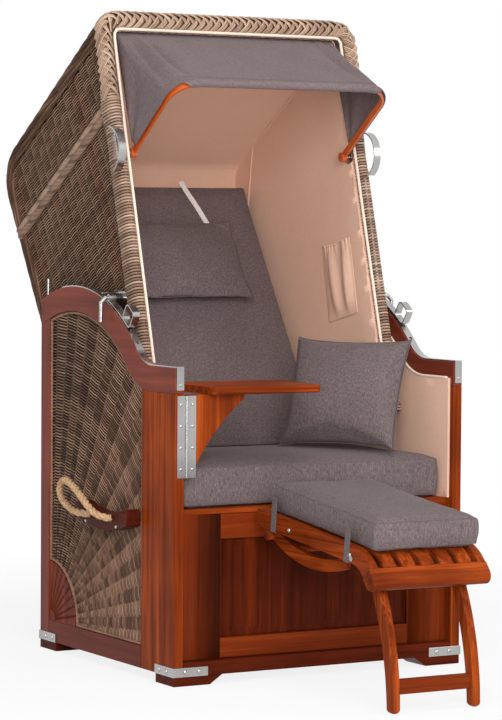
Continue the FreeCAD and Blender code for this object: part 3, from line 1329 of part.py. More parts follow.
def make_footrest_bolts():
    """Leg bolts with round heads."""
    bolts = []
    rear_reach = REST_IN - SOFT_GAP - REAR_LEG
    front_reach = FRONT_LEG_OFFSET - FRONT_LEG / 2.0
    for place, reach in ((REAR_BOLT, rear_reach), (FRONT_BOLT, front_reach)):
        across = Vector(1, 0, 0)
        head = ring_of(Vector(REST_HALF, *place), across, LEG_BOLT_HEAD, HOLE_SIDES)
        head = head.extrude(across * LEG_BOLT)
        bolt = fused(head, x_rod(reach, REST_HALF, *place, LEG_BOLT))
        bolts += [bolt, mirrored(bolt)]
    keep_tilted("footrest_bolts", *bolts)


def make_footrest_hooks():
    """J hooks on the front frame that cradle the footrest's dowel."""
    centre = (REST_AXIS_Y, REST_AXIS_Z)
    inner = DOWEL + RUN_GAP
    outer = inner + HOOK
    low = REST_AXIS_Z - outer
    hooks = []
    for side in (-1.0, 1.0):
        x = REST_X + side * HOOK_SPACING / 2.0
        hooks.append(side_slab(
            x - HOOK_WIDTH / 2.0, x + HOOK_WIDTH / 2.0, (FRONT_SET_BACK, low - HOOK_DROP),
            (FRONT_SET_BACK, REST_AXIS_Z - inner), (REST_AXIS_Y, REST_AXIS_Z - inner),
            (on_circle(centre, inner, 225.0), on_circle(centre, inner, 180.0)),
            on_circle(centre, outer, 180.0),
            (on_circle(centre, outer, 225.0), (REST_AXIS_Y, low)), (FRONT_SET_BACK - HOOK, low),
            (FRONT_SET_BACK - HOOK, low - HOOK_DROP)))
    keep("footrest_hooks", *hooks)


def make_footrest_cushion():
    length = REST_CUSHION_FRONT - REST_CUSHION_REAR
    cushion = crowned_block(REST_CUSHION_WIDTH, length, REST_CUSHION, REST_CROWN)
    cushion.translate(Vector(0, -(REST_CUSHION_FRONT + REST_CUSHION_REAR) / 2.0, REST_TOP + SOFT_GAP))
    keep_tilted("footrest_cushion", cushion)


def make_footrest_straps():
    """Webbing that holds the cushion: up its side and under the rail."""
    straps = []
    near = REST_HALF + SOFT_GAP
    far = near + REST_STRAP
    low = REST_TOP - REST_RAIL_HEIGHT - SOFT_GAP
    high = REST_TOP + REST_STRAP_RISE
    for place in (REST_STRAP_REAR, REST_STRAIGHT - REST_STRAP_FRONT):
        strap = front_slab(
            -place - REST_STRAP_WIDTH / 2.0, -place + REST_STRAP_WIDTH / 2.0, (near - REST_RAIL, low),
            (near - REST_RAIL, low - REST_STRAP), (far, low - REST_STRAP), (far, high), (near, high),
            (near, low))
        straps += [strap, mirrored(strap)]
    keep_tilted("footrest_straps", *straps)


make_base_sides()
make_side_panels()
make_shell_corners()
make_front()
make_seat_and_rear()
make_feet()
make_corner_irons()
make_lock_strips()
make_hood_sides()
make_hood_panels()
make_hood_handles(make_hood_rim())
make_pivots()
make_lock_plates()
make_latches()
make_awning_bow()
make_canopy()
make_seat_cushion()
make_back_cushion()
make_throw_pillow()
make_lining_pocket()
make_rope_handles()
make_table()
make_table_hinge()
make_footrest_rails()
make_footrest_deck()
make_front_legs()
make_rear_legs()
make_footrest_bolts()
make_footrest_hooks()
make_footrest_cushion()
make_footrest_straps()

reach = Part.makeCompound(list(nodes.values())).optimalBoundingBox()
ORIGIN_Y = (reach.YMin + reach.YMax) / 2.0
for name, shape in nodes.items():
    shape.translate(Vector(0, -ORIGIN_Y, 0))
    shape.exportStep("parts/" + name + ".step")
print("nodes", len(nodes), "origin at", round(ORIGIN_Y, 2), "from the base's front")
print("size", round(reach.XLength, 1), round(reach.YLength, 1), round(reach.ZLength, 1))
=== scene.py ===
import contextlib
import json
import math
import random

import bmesh
import bpy
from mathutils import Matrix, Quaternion, Vector, noise
from mathutils.bvhtree import BVHTree


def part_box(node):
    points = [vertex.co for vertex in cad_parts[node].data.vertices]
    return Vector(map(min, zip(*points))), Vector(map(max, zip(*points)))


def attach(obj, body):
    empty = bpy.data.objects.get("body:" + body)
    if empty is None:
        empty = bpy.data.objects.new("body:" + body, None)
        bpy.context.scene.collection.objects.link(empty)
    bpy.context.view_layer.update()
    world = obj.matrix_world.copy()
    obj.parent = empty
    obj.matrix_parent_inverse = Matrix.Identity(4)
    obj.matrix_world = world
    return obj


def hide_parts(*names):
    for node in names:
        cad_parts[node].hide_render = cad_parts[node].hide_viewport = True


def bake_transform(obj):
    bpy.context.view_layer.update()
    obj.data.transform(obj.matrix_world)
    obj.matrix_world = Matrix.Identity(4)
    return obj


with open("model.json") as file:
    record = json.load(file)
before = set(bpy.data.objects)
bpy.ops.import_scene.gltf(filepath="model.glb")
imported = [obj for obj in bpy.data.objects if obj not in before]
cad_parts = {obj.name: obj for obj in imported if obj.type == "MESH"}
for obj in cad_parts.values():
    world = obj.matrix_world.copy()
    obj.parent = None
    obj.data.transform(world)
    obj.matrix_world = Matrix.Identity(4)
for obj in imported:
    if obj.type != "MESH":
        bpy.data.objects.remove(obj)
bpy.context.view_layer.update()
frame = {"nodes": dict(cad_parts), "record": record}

# Hooded beach chair, in metres. Sizes are measured from the base's front face and the floor.
SIDES = ((-1, "left"), (1, "right"))
ACROSS = Vector((1, 0, 0))
FRONT_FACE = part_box("front_posts")[0].y
WALL_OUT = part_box("front_posts")[1].x
WALL_MIDDLE = WALL_OUT - 0.0125
HOOD_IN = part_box("hood_side_right")[0].x
HOOD_OUT = HOOD_IN + 0.018
LINING_IN = HOOD_IN - 0.0099
MOUTH = LINING_IN + 0.006
HOOD_LEAN = math.radians(32.25)
FRONT_LEAN = math.radians(15.6)
HOOD_TOP = (0.463, 1.594)
ROOF_LENGTH = 0.702
BACK_LENGTH = 0.905
HOOD_CORNER = 0.085
ROOF_DROP = 0.012
RIM_DEPTH = 0.034
BRAID_WIDTH = 0.044
BRAID_LENGTH = 0.274
BRAID_LIP = 0.016
BRAID_CORNER = 0.055
WRAP_DEPTH = 0.026
BOW_PIVOT = (0.406, 1.242)
BOW_RISE = math.radians(36.0)
BOW_REACH = 0.279
BOW_HALF_WIDTH = LINING_IN - 0.020
BOW_CORNER = 0.070
BOW_STRAIGHT = BOW_HALF_WIDTH - BOW_CORNER
BOW_EYE = 0.034
FAN_HUB = (0.665, 0.075)

chance = random.Random(7)


def clamp(number):
    return min(max(number, 0.0), 1.0)


def hump(distance, broad):
    """A smooth rise to 1 where there is no distance."""
    return math.exp(-(distance / broad) ** 2)


def spot(x, y, z):
    """A place given from the base's front face, in the frame of the model."""
    return Vector((x, FRONT_FACE + y, z))


# Hood lines, as (y, z) from the base's front face, and as directions
BACK_UP = (math.sin(HOOD_LEAN), math.cos(HOOD_LEAN))
ROOF_REAR = (BACK_UP[1], -BACK_UP[0])
FRONT_UP = (math.sin(FRONT_LEAN), math.cos(FRONT_LEAN))
FRONT_OUT = (-FRONT_UP[1], FRONT_UP[0])
CORNER = (HOOD_TOP[0] + ROOF_LENGTH * ROOF_REAR[0], HOOD_TOP[1] + ROOF_LENGTH * ROOF_REAR[1])
HOOD_UP, HOOD_REAR, RIM_UP, RIM_OUT = (
    Vector((0, *way)) for way in (BACK_UP, ROOF_REAR, FRONT_UP, FRONT_OUT))


def hood_spot(x, below, inset):
    """A place below the hood's rear top corner and in from its back."""
    return spot(x, CORNER[0] - below * BACK_UP[0] - inset * ROOF_REAR[0],
                CORNER[1] - below * BACK_UP[1] - inset * ROOF_REAR[1])


def front_spot(x, below, out):
    """A place below the hood's front top and out from the front edge of its panels."""
    ahead = out - RIM_DEPTH
    return spot(x, HOOD_TOP[0] - below * FRONT_UP[0] + ahead * FRONT_OUT[0],
                HOOD_TOP[1] - below * FRONT_UP[1] + ahead * FRONT_OUT[1])


def bow_spot(x, reach, above=0.0):
    """A place ahead of the bow's pivot and above the bow."""
    return spot(x, BOW_PIVOT[0] - reach * math.cos(BOW_RISE) + above * math.sin(BOW_RISE),
                BOW_PIVOT[1] + reach * math.sin(BOW_RISE) + above * math.cos(BOW_RISE))


# Materials
class Value:
    """A shader socket that can be used in sums."""

    def __init__(self, graph, socket):
        self.graph = graph
        self.socket = socket

    def maths(self, operation, other):
        return self.graph.value("ShaderNodeMath", {0: self, 1: other}, operation=operation)

    def __add__(self, other):
        return self.maths("ADD", other)

    def __sub__(self, other):
        return self.maths("SUBTRACT", other)

    def __mul__(self, other):
        return self.maths("MULTIPLY", other)

    def larger(self, other):
        return self.maths("MAXIMUM", other)

    def clamped(self):
        return self.larger(0.0).maths("MINIMUM", 1.0)


class Graph:
    """A tree of shader nodes."""

    def __init__(self, tree):
        self.tree = tree

    def node(self, kind, sockets=(), **settings):
        made = self.tree.nodes.new(kind)
        for name, setting in settings.items():
            setattr(made, name, setting)
        for name, given in dict(sockets).items():
            self.feed(made.inputs[name], given)
        return made

    def feed(self, socket, given):
        if isinstance(given, Value):
            self.tree.links.new(given.socket, socket)
        else:
            socket.default_value = given

    def value(self, kind, sockets=(), output=0, **settings):
        return Value(self, self.node(kind, sockets, **settings).outputs[output])

    def seen(self):
        """1 for rays from the eye or from mirrors and glass, else 0."""
        path = self.node("ShaderNodeLightPath")
        rays = ("Is Camera Ray", "Is Glossy Ray", "Is Transmission Ray")
        eye, mirror, glass = (Value(self, path.outputs[ray]) for ray in rays)
        return eye.larger(mirror).larger(glass)

    def shared(self, share, first, second, output):
        """Send a mix of two shaders to the output node."""
        both = self.value("ShaderNodeMixShader", {0: share, 1: first, 2: second})
        self.feed(self.tree.nodes[output].inputs["Surface"], both)


class Finish(Graph):
    """A surface finish: one material and its nodes."""

    def __init__(self, name, **constants):
        self.material = bpy.data.materials.new(name)
        self.material.use_nodes = True
        super().__init__(self.material.node_tree)
        self.shader = self.tree.nodes["Principled BSDF"]
        self.shade(**constants)

    def shade(self, **sockets):
        for name, given in sockets.items():
            self.feed(self.shader.inputs[name.replace("_", " ")], given)

    def place(self, stretch=(1, 1, 1), turn=(0, 0, 0), kind="Object"):
        """Coordinates of one kind, turned and scaled."""
        spots = self.value("ShaderNodeTexCoord", output=kind)
        return self.value("ShaderNodeMapping",
                          {"Vector": spots, "Scale": stretch, "Rotation": turn})

    def noise(self, scale, detail=3.0, rough=0.5, distortion=0.0, **place):
        return self.value("ShaderNodeTexNoise", {
            "Vector": self.place(**place), "Scale": scale, "Detail": detail,
            "Roughness": rough, "Distortion": distortion})

    def ramp(self, factor, *stops):
        made = self.node("ShaderNodeValToRGB", {"Fac": factor})
        elements = made.color_ramp.elements
        while len(elements) < len(stops):
            elements.new(1.0)
        for element, (place, colour) in zip(elements, stops):
            element.position = place
            element.color = (*colour, 1.0)
        return Value(self, made.outputs[0])

    def mixed(self, factor, first, second, blend="MIX"):
        """Two colours mixed."""
        first, second = (given if isinstance(given, Value) else (*given, 1.0)
                         for given in (first, second))
        return self.value("ShaderNodeMix", {0: factor, 6: first, 7: second}, 2,
                          data_type="RGBA", blend_type=blend)

    def made(self, colour, rough, height, strength, distance):
        """The material with its colour, its roughness and bumps of some height."""
        bumps = self.value("ShaderNodeBump", {
            "Height": height, "Strength": strength, "Distance": distance})
        self.shade(Base_Color=colour, Roughness=rough, Normal=bumps)
        return self.material


def mahogany(name, grain_axis, deep, bright, shine=0.035, lined=0.5, cloudy=0.33, streaky=0.55):
    """Varnished wood with its grain along one axis, between a deep and a bright colour."""
    finish = Finish(name, Specular_IOR_Level=shine, Coat_Roughness=0.2, Coat_Weight=shine * 0.4)
    scale = [20.0, 20.0, 20.0]
    scale[grain_axis] = 0.9
    thin = [6.0 * size for size in scale]
    thin[grain_axis] = 0.8
    streak = finish.noise(2.0, 5.0, 0.6, 0.5, stretch=scale)
    lines = finish.noise(1.6, 2.0, stretch=thin)
    pores = finish.noise(6.0, 4.0, 0.7, stretch=[2.5 * size for size in scale])
    cloud = finish.noise(4.5, 2.0)
    mark = (streak - 0.5) * streaky + (cloud - 0.5) * cloudy + pores * 0.15 + 0.44
    middle = tuple(math.sqrt(low * high) for low, high in zip(deep, bright))
    colour = finish.ramp(mark, (0.36, deep), (0.52, middle), (0.70, bright))
    faint = 1.0 - lined
    seam = finish.ramp(lines, (0.31, (faint, faint * 0.85, faint * 0.8)), (0.43, (1.0, 1.0, 1.0)))
    colour = finish.mixed(1.0, colour, seam, "MULTIPLY")
    return finish.made(colour, pores * 0.2 + 0.26, pores, 0.10, 0.0006)


def cane(name, dark, middle, light, warm, red=0.0):
    """Woven cane: each strand has its own tone, and some columns of the weave can be redder."""
    finish = Finish(name, Specular_IOR_Level=0.08)
    tone = finish.value("ShaderNodeAttribute", output="Fac", attribute_name="tone")
    fine = finish.noise(420.0, 2.0)
    mark = tone * 0.80 + finish.noise(16.0) * 0.36 + fine * 0.14 - 0.15
    colour = finish.ramp(mark, (0.10, dark), (0.42, middle), (0.72, light), (0.98, warm))
    if red:
        lie = finish.value("ShaderNodeVectorMath", {0: finish.place(), 1: HOOD_REAR}, "Value",
                           operation="DOT_PRODUCT")
        patch = finish.noise(3.0, 2.0, stretch=(0.4, 1.0, 0.5))
        column = finish.value("ShaderNodeTexNoise", {
            "W": lie + patch * 0.1, "Scale": 10.0, "Detail": 1.0}, noise_dimensions="1D")
        redder = finish.mixed(1.0, colour, (1.04, 0.80, 0.70), "MULTIPLY")
        colour = finish.mixed(((column - 0.50) * 6.0).clamped() * red, colour, redder)
    return finish.made(colour, fine * 0.2 + 0.40, fine, 0.2, 0.0006)


def melange(name, dark, light, size=1.0):
    """Cloth of mixed yarns: upright slubs, crossed by finer ones."""
    finish = Finish(name, Specular_IOR_Level=0.10, Sheen_Weight=0.06, Sheen_Roughness=0.5)
    along = finish.noise(520.0 / size, 2.0, stretch=(1.0, 1.0, 0.16))
    across = finish.noise(640.0 / size, 2.0, stretch=(0.22, 0.22, 1.0))
    mark = along * 0.60 + across * 0.30 + finish.noise(9.0) * 0.10
    colour = finish.ramp(mark, (0.34, dark), (0.66, light))
    return finish.made(colour, along * 0.12 + 0.82, along + across, 0.35, 0.0012)


def steel(name, deep, bright):
    finish = Finish(name, Metallic=1.0)
    brush = finish.noise(3.0, stretch=(40.0, 40.0, 400.0))
    colour = finish.ramp(finish.noise(9.0, 2.0), (0.3, deep), (0.7, bright))
    return finish.made(colour, brush * 0.10 + 0.20, brush, 0.02, 0.0003)


def paint(name, deep, bright):
    finish = Finish(name, Specular_IOR_Level=0.5, Coat_Weight=0.2, Coat_Roughness=0.2)
    cloud = finish.noise(26.0, 4.0)
    colour = finish.ramp(cloud, (0.3, deep), (0.7, bright))
    return finish.made(colour, cloud * 0.2 + 0.26, finish.noise(240.0, 2.0), 0.08, 0.0005)


def fibre(name, dark, light):
    """Rope yarns laid along each strand, read from the strand's own map."""
    finish = Finish(name, Specular_IOR_Level=0.25)
    yarn = finish.noise(1.0, stretch=(9.0, 260.0, 1.0), turn=(0, 0, 0.5), kind="UV")
    mark = yarn * 0.7 + finish.noise(60.0) * 0.3
    colour = finish.ramp(mark, (0.36, dark), (0.66, light))
    return finish.made(colour, yarn * 0.15 + 0.72, yarn, 0.6, 0.0015)


ORANGE_BROWN = ((0.095, 0.0130, 0.0022), (0.50, 0.090, 0.0130))
DARK_RED = ((0.042, 0.0055, 0.0016), (0.150, 0.020, 0.0042))
MIDDLE_RED = ((0.080, 0.0108, 0.0021), (0.370, 0.060, 0.0095))
# DULL_RED and SIDE_RED are paler in green and blue than the other woods: a milky reflection painted
# into the colour of the arms, rear posts and side rails, over their own red.
DULL_RED = ((0.118, 0.0205, 0.0105), (0.305, 0.058, 0.0320))
SIDE_RED = ((0.070, 0.0110, 0.0055), (0.195, 0.033, 0.0165))
SHELL_RED = ((0.085, 0.0130, 0.0050), (0.330, 0.058, 0.0230))
BLOCK_RED = ((0.034, 0.0048, 0.0020), (0.125, 0.0190, 0.0075))
# FIELD_RED is kept darker than the frame's reds, partly as painted shade from the footrest in front
# of the field.
FIELD_RED = ((0.040, 0.0052, 0.0014), (0.140, 0.019, 0.0040))
CALM = {"lined": 0.3, "cloudy": 0.08, "streaky": 0.25}
wood_up = mahogany("mahogany_upright", 2, *ORANGE_BROWN)
wood_across = mahogany("mahogany_across", 0, *ORANGE_BROWN)
wood_along = mahogany("mahogany_along", 1, *ORANGE_BROWN)
front_across = mahogany("front_mahogany_across", 0, *DARK_RED, lined=0.25)
frame_across = mahogany("frame_mahogany_across", 0, *MIDDLE_RED, **CALM)
frame_up = mahogany("frame_mahogany_upright", 2, *MIDDLE_RED, **CALM)
arm_along = mahogany("arm_mahogany_along", 1, *DULL_RED, shine=0.10, lined=0.15)
arm_up = mahogany("arm_mahogany_upright", 2, *DULL_RED, shine=0.10, lined=0.15)
rail_along = mahogany("side_rail_mahogany", 1, *SIDE_RED, shine=0.07, lined=0.15)
shell_wood = mahogany("shell_mahogany", 2, *SHELL_RED, shine=0.06, lined=0.15)
dark_along = mahogany("dark_mahogany_along", 1, *BLOCK_RED, shine=0.05)
field_wood = mahogany("field_mahogany", 2, *FIELD_RED, lined=0.25)
wicker = cane("wicker", (0.022, 0.011, 0.007), (0.140, 0.080, 0.051),
              (0.360, 0.222, 0.148), (0.500, 0.325, 0.220), red=0.7)
base_wicker = cane("base_wicker", (0.022, 0.010, 0.006), (0.130, 0.069, 0.044),
                   (0.350, 0.202, 0.134), (0.520, 0.325, 0.220))
# Near-black cane for the cores under the weave: painted shadow that shows in the gaps between the
# canes.
painted_shadow_core = cane("wicker_shadow", (0.010, 0.005, 0.003), (0.020, 0.011, 0.007),
                   (0.030, 0.017, 0.011), (0.040, 0.022, 0.014))
pale_cane = cane("pale_cane", (0.075, 0.045, 0.031), (0.290, 0.185, 0.130),
                 (0.500, 0.340, 0.245), (0.640, 0.470, 0.350))
lining_cloth = melange("lining_cloth", (0.800, 0.505, 0.370), (0.890, 0.585, 0.440), 0.8)
piping_cloth = melange("piping_cloth", (0.80, 0.62, 0.50), (0.92, 0.78, 0.66))
cushion_cloth = melange("cushion_cloth", (0.076, 0.057, 0.058), (0.206, 0.158, 0.160))
awning_weave = melange("awning_cloth", (0.108, 0.080, 0.081), (0.238, 0.182, 0.183))
seam_cloth = melange("seam_cloth", (0.070, 0.053, 0.054), (0.190, 0.146, 0.148), 0.7)
webbing = melange("webbing", (0.080, 0.064, 0.064), (0.175, 0.143, 0.144), 0.7)
white_tape = melange("white_tape", (0.72, 0.69, 0.67), (0.90, 0.88, 0.86), 0.7)
polished_steel = steel("polished_steel", (0.38, 0.37, 0.36), (0.50, 0.49, 0.48))
orange_paint = paint("orange_paint", (0.48, 0.075, 0.006), (0.60, 0.105, 0.010))
rope_fibre = fibre("rope_fibre", (0.38, 0.215, 0.105), (0.74, 0.490, 0.290))


# Making pieces
def linked(name, data):
    """A new object in the scene."""
    made = bpy.data.objects.new(name, data)
    bpy.context.scene.collection.objects.link(made)
    return made


def pick(*pieces):
    """Select pieces; the first of them is active."""
    bpy.ops.object.select_all(action="DESELECT")
    for piece in pieces:
        piece.select_set(True)
    bpy.context.view_layer.objects.active = pieces[0]


def joined(name, *pieces):
    """Several pieces as one, under one name."""
    pick(*pieces)
    bpy.ops.object.join()
    pieces[0].name = name
    pieces[0].data.name = name
    return pieces[0]


@contextlib.contextmanager
def reshaped(piece):
    """A piece's mesh, open for changes."""
    shape = bmesh.new()
    shape.from_mesh(piece.data)
    yield shape
    shape.to_mesh(piece.data)
    shape.free()


def faced_out(piece):
    with reshaped(piece) as shape:
        bmesh.ops.recalc_face_normals(shape, faces=shape.faces)
    return piece


def rounded(piece, smooth=True):
    """Shade every face smooth, or flat."""
    faces = piece.data.polygons
    faces.foreach_set("use_smooth", [smooth] * len(faces))
    return piece


def smoothed(piece, degrees):
    """Shade smooth over edges that turn less than an angle."""
    pick(piece)
    bpy.ops.object.shade_smooth_by_angle(angle=math.radians(degrees))
    return piece


def new_piece(name, points, faces, material):
    mesh = bpy.data.meshes.new(name)
    mesh.from_pydata([tuple(point) for point in points], [], faces)
    mesh.update()
    mesh.materials.append(material)
    return rounded(linked(name, mesh))


def apply_all(piece):
    pick(piece)
    for modifier in list(piece.modifiers):
        bpy.ops.object.modifier_apply(modifier=modifier.name)
    return piece


def modified(piece, kind, **settings):
    """A piece with one modifier applied."""
    modifier = piece.modifiers.new("change", kind)
    for name, setting in settings.items():
        setattr(modifier, name, setting)
    return apply_all(piece)


def settle(piece, body, slot_name, *stands_for):
    """The piece rides on a body and stands for CAD nodes, which are hidden; its slot name is not
    used.
    """
    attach(piece, body)
    if stands_for:
        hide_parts(*stands_for)
    return piece


def copy_of(node, name):
    """A merged copy of a CAD node's mesh as a new piece."""
    piece = linked(name, frame["nodes"][node].data.copy())
    piece.data.name = name
    piece.data.materials.clear()
    with reshaped(piece) as shape:
        bmesh.ops.remove_doubles(shape, verts=shape.verts, dist=2e-5)
    return piece


def give_tone(piece, tones):
    """Store each point's tone, which its cane colour follows."""
    kept = piece.data.attributes.new("tone", "FLOAT", "POINT")
    kept.data.foreach_set("value", tones)


def make_core(node, name, material, tone, moved):
    """A copy of a node to lie below its canes, with its points moved in."""
    core = copy_of(node, name)
    for vertex in core.data.vertices:
        vertex.co = moved(vertex.co.copy())
    core.data.materials.append(material)
    give_tone(core, [tone] * len(core.data.vertices))
    return core


def tree_of(piece):
    return BVHTree.FromPolygons([vertex.co for vertex in piece.data.vertices],
                                [tuple(face.vertices) for face in piece.data.polygons])


def node_tree(node):
    return tree_of(frame["nodes"][node])


def ring_faces(first, rings, count, closed=True):
    """Faces between rings of points that follow each other from the first."""
    for base in range(first, first + (rings - 1) * count, count):
        for k in range(count if closed else count - 1):
            after = (k + 1) % count
            yield base + k, base + after, base + count + after, base + count + k


class Strands:
    """A growing mesh of strands with tones and a map along each strand."""

    def __init__(self):
        self.points = []
        self.faces = []
        self.tones = []
        self.maps = []

    def sweep(self, centres, sides, outs, profile, tone, closed=True, cap=True):
        """Carry a profile of (side, out) points along a run; directions can be lists or one."""
        sides, outs = (given if isinstance(given, list) else [given] * len(centres)
                       for given in (sides, outs))
        count = len(profile)
        first = len(self.points)
        run = 0.0
        for place, centre in enumerate(centres):
            if place:
                run += (centre - centres[place - 1]).length
            for index, (across, up) in enumerate(profile):
                self.points.append(centre + sides[place] * across + outs[place] * up)
                self.tones.append(tone)
                self.maps.append((index / count, run))
        self.faces.extend(ring_faces(first, len(centres), count, closed))
        if cap and closed:
            self.faces.append(tuple(range(first + count - 1, first - 1, -1)))
            last = len(self.points) - count
            self.faces.append(tuple(range(last, last + count)))

    def piece(self, name, material):
        made = new_piece(name, self.points, self.faces, material)
        give_tone(made, self.tones)
        layer = made.data.uv_layers.new(name="along")
        for loop in made.data.loops:
            layer.data[loop.index].uv = self.maps[loop.vertex_index]
        return faced_out(made)


def oval(wide, high, count):
    return [(wide * math.cos(2 * math.pi * k / count), high * math.sin(2 * math.pi * k / count))
            for k in range(count)]


def way_at(points, place, before=1, after=1):
    """The way that a run takes at one of its points."""
    return points[min(place + after, len(points) - 1)] - points[max(place - before, 0)]


def frames_along(points):
    """Side and out directions that turn as little as they can along a run."""
    sides, outs = [], []
    side = way_at(points, 0).normalized().orthogonal().normalized()
    for place in range(len(points)):
        tangent = way_at(points, place).normalized()
        side = (side - tangent * side.dot(tangent)).normalized()
        sides.append(side)
        outs.append(tangent.cross(side))
    return sides, outs


def lengths_of(points):
    runs = [0.0]
    for before, after in zip(points, points[1:]):
        runs.append(runs[-1] + (after - before).length)
    return runs


def evened(points, step):
    """The same run with points at even steps."""
    runs = lengths_of(points)
    count = max(2, round(runs[-1] / step))
    made, index = [], 0
    for k in range(count + 1):
        want = runs[-1] * k / count
        while index < len(points) - 2 and runs[index + 1] < want:
            index += 1
        share = (want - runs[index]) / max(runs[index + 1] - runs[index], 1e-9)
        made.append(points[index].lerp(points[index + 1], min(share, 1.0)))
    return made


def twisted(strands, points, count, lay, wide, pitch, sides, tone, start=0.0):
    """Strands laid round a centre line."""
    across, out = frames_along(points)
    runs = lengths_of(points)
    for strand in range(count):
        centres = []
        for place, point in enumerate(points):
            turn = start + 2 * math.pi * (strand / count + runs[place] / pitch)
            centres.append(point + across[place] * lay * math.cos(turn)
                           + out[place] * lay * math.sin(turn))
        strands.sweep(centres, *frames_along(centres), oval(wide, wide, sides),
                      tone + 0.08 * chance.random())


def tube(name, points, thick, material, sides=8, step=0.010):
    """A round run of piping, seam or band through some points."""
    run = evened(points, step)
    strands = Strands()
    strands.sweep(run, *frames_along(run), oval(thick, thick, sides), 0.5)
    return strands.piece(name, material)


def make_sheet(name, lines, material, thickness):
    """Cloth through lines of points that lie side by side."""
    faces = [(first, across, far, after) for first, after, far, across
             in ring_faces(0, len(lines), len(lines[0]), closed=False)]
    piece = new_piece(name, [point for line in lines for point in line], faces, material)
    return modified(piece, "SOLIDIFY", thickness=thickness, offset=0.0)


# Camera, light and floor
CAMERA_PLACE = (-3.5148, -5.7940, 1.0825)
CAMERA_AHEAD = Vector((0.49639, 0.86671, -0.04901))
CAMERA_ROLL = 0.007
CAMERA_LENS = 143.16
SOFTBOXES = (  # name, place, aim, size and watts
    ("front_softbox", (-1.9, -4.2, 1.9), (0.0, 0.2, 0.9), 2.4, 165.0),
    ("top_softbox", (-0.6, -1.6, 4.2), (0.0, -0.1, 0.5), 2.0, 45.0),
    ("right_softbox", (2.8, -2.6, 2.2), (0.0, 0.0, 0.9), 1.8, 32.0))


def look(thing, place, ahead, roll=0.0):
    thing.location = place
    thing.rotation_mode = "QUATERNION"
    thing.rotation_quaternion = Quaternion(-ahead, roll) @ ahead.to_track_quat("-Z", "Y")


def set_camera():
    data = bpy.data.cameras.new("photo_view")
    data.sensor_width = 36.0
    data.lens = CAMERA_LENS
    data.clip_end = 60.0
    camera = linked("photo_view", data)
    look(camera, spot(*CAMERA_PLACE), CAMERA_AHEAD, CAMERA_ROLL)
    bpy.context.scene.camera = camera


def set_studio():
    scene = bpy.context.scene
    scene.view_settings.view_transform = "Standard"
    scene.world = bpy.data.worlds.new("studio")
    scene.world.use_nodes = True
    sky = Graph(scene.world.node_tree)
    soft, bright = (sky.value("ShaderNodeBackground", {
        "Color": (1.0, 1.0, 1.0, 1.0), "Strength": strength}) for strength in (0.45, 1.0))
    sky.shared(sky.seen(), soft, bright, "World Output")
    for name, place, aim, size, watts in SOFTBOXES:
        data = bpy.data.lights.new(name, "AREA")
        data.size = size
        data.energy = watts
        look(linked(name, data), Vector(place), Vector(aim) - Vector(place))
    bpy.ops.mesh.primitive_grid_add(x_subdivisions=8, y_subdivisions=8, size=24.0)
    floor = bpy.context.object
    floor.name = "studio_floor"
    for vertex in floor.data.vertices:
        vertex.co.z = -0.001
    pale = Finish("pale_floor", Roughness=0.9, Base_Color=(0.86, 0.86, 0.86, 1.0))
    glow = pale.value("ShaderNodeEmission", {"Strength": 1.0})
    away = pale.value("ShaderNodeVectorMath", {0: pale.place()}, "Value", operation="LENGTH")
    fade = ((away - 1.2) * 0.8).clamped()
    pale.shared(pale.seen() * (fade * 0.16 + 0.84), Value(pale, pale.shader.outputs[0]), glow,
                "Material Output")
    floor.data.materials.append(pale.material)


# Rope handles
ROPE_FACE = WALL_OUT + 0.033
ROPE_ROUTE = (  # out from the handle block's face, y and z
    (0.000, 0.257, 0.370), (0.029, 0.262, 0.374), (0.038, 0.300, 0.394), (0.034, 0.366, 0.426),
    (0.026, 0.446, 0.450), (0.019, 0.496, 0.438), (0.019, 0.496, 0.404), (0.025, 0.440, 0.383),
    (0.026, 0.385, 0.372), (0.000, 0.368, 0.370))


def smooth_route(points):
    """Points read from a smooth spline along a route."""
    data = bpy.data.curves.new("route", "CURVE")
    data.dimensions = "3D"
    data.resolution_u = 24
    line = data.splines.new("NURBS")
    line.points.add(len(points) - 1)
    for place, point in zip(line.points, points):
        place.co = (*point, 1.0)
    line.order_u = 3
    line.use_endpoint_u = True
    carrier = linked("route", data)
    bpy.context.view_layer.update()
    mesh = bpy.data.meshes.new_from_object(carrier)
    made = [vertex.co.copy() for vertex in mesh.vertices]
    bpy.data.objects.remove(carrier)
    bpy.data.meshes.remove(mesh)
    return made


def make_rope(side, name):
    route = [spot(side * (ROPE_FACE + out), y, z) for out, y, z in ROPE_ROUTE]
    line = evened(smooth_route(route), 0.004)
    strands = Strands()
    twisted(strands, line, count=3, lay=0.0046, wide=0.0045, pitch=0.050, sides=8, tone=0.4)
    rope = strands.piece("rope_loop_" + name, rope_fibre)
    settle(rope, "base", "rope_fibre", "rope_" + name)
    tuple(route[0])
    lengths_of(line)[-1]


# Weaving
CANE_PROFILE = ((-1.0, -0.35), (-0.45, 0.85), (0.45, 0.85), (1.0, -0.35))
CANE_HEIGHT = 0.0012
WEAVE_DEPTH = 0.0046
WEAVE_WAVE = 0.0032
HOOD_ROW = 0.0037
HOOD_STAKE = 0.037
HOOD_CANE = HOOD_ROW * 0.34
HOOD_TONES = (0.62, 0.36, 0.02)
BASE_ROW = 0.00366
BASE_STAKE = math.radians(4.2)
BASE_CANE = 0.0015
BASE_TONES = (0.60, 0.42, 0.08)
SHADOW_CORE_TONE = 0.2


def cane_profile(wide, high):
    return [(across * wide, up * high) for across, up in CANE_PROFILE]


STAKE_PROFILE = cane_profile(0.0030, 0.0004)


# Dark tones for the stakes: painted shade, for the stakes seen deep between the rows.
def stake_shade_tone():
    return 0.04 + 0.1 * chance.random()


def row_tones(base, spread, parity):
    def tone(row):
        return base + spread * (chance.random() - 0.5) + (parity if row % 2 else -parity)
    return tone


def weave_lift(t, stake, row):
    """How far out a row lies as it passes over and under the stakes."""
    return WEAVE_WAVE * math.tanh(2.4 * math.cos(math.pi * (t / stake + row))) - WEAVE_DEPTH


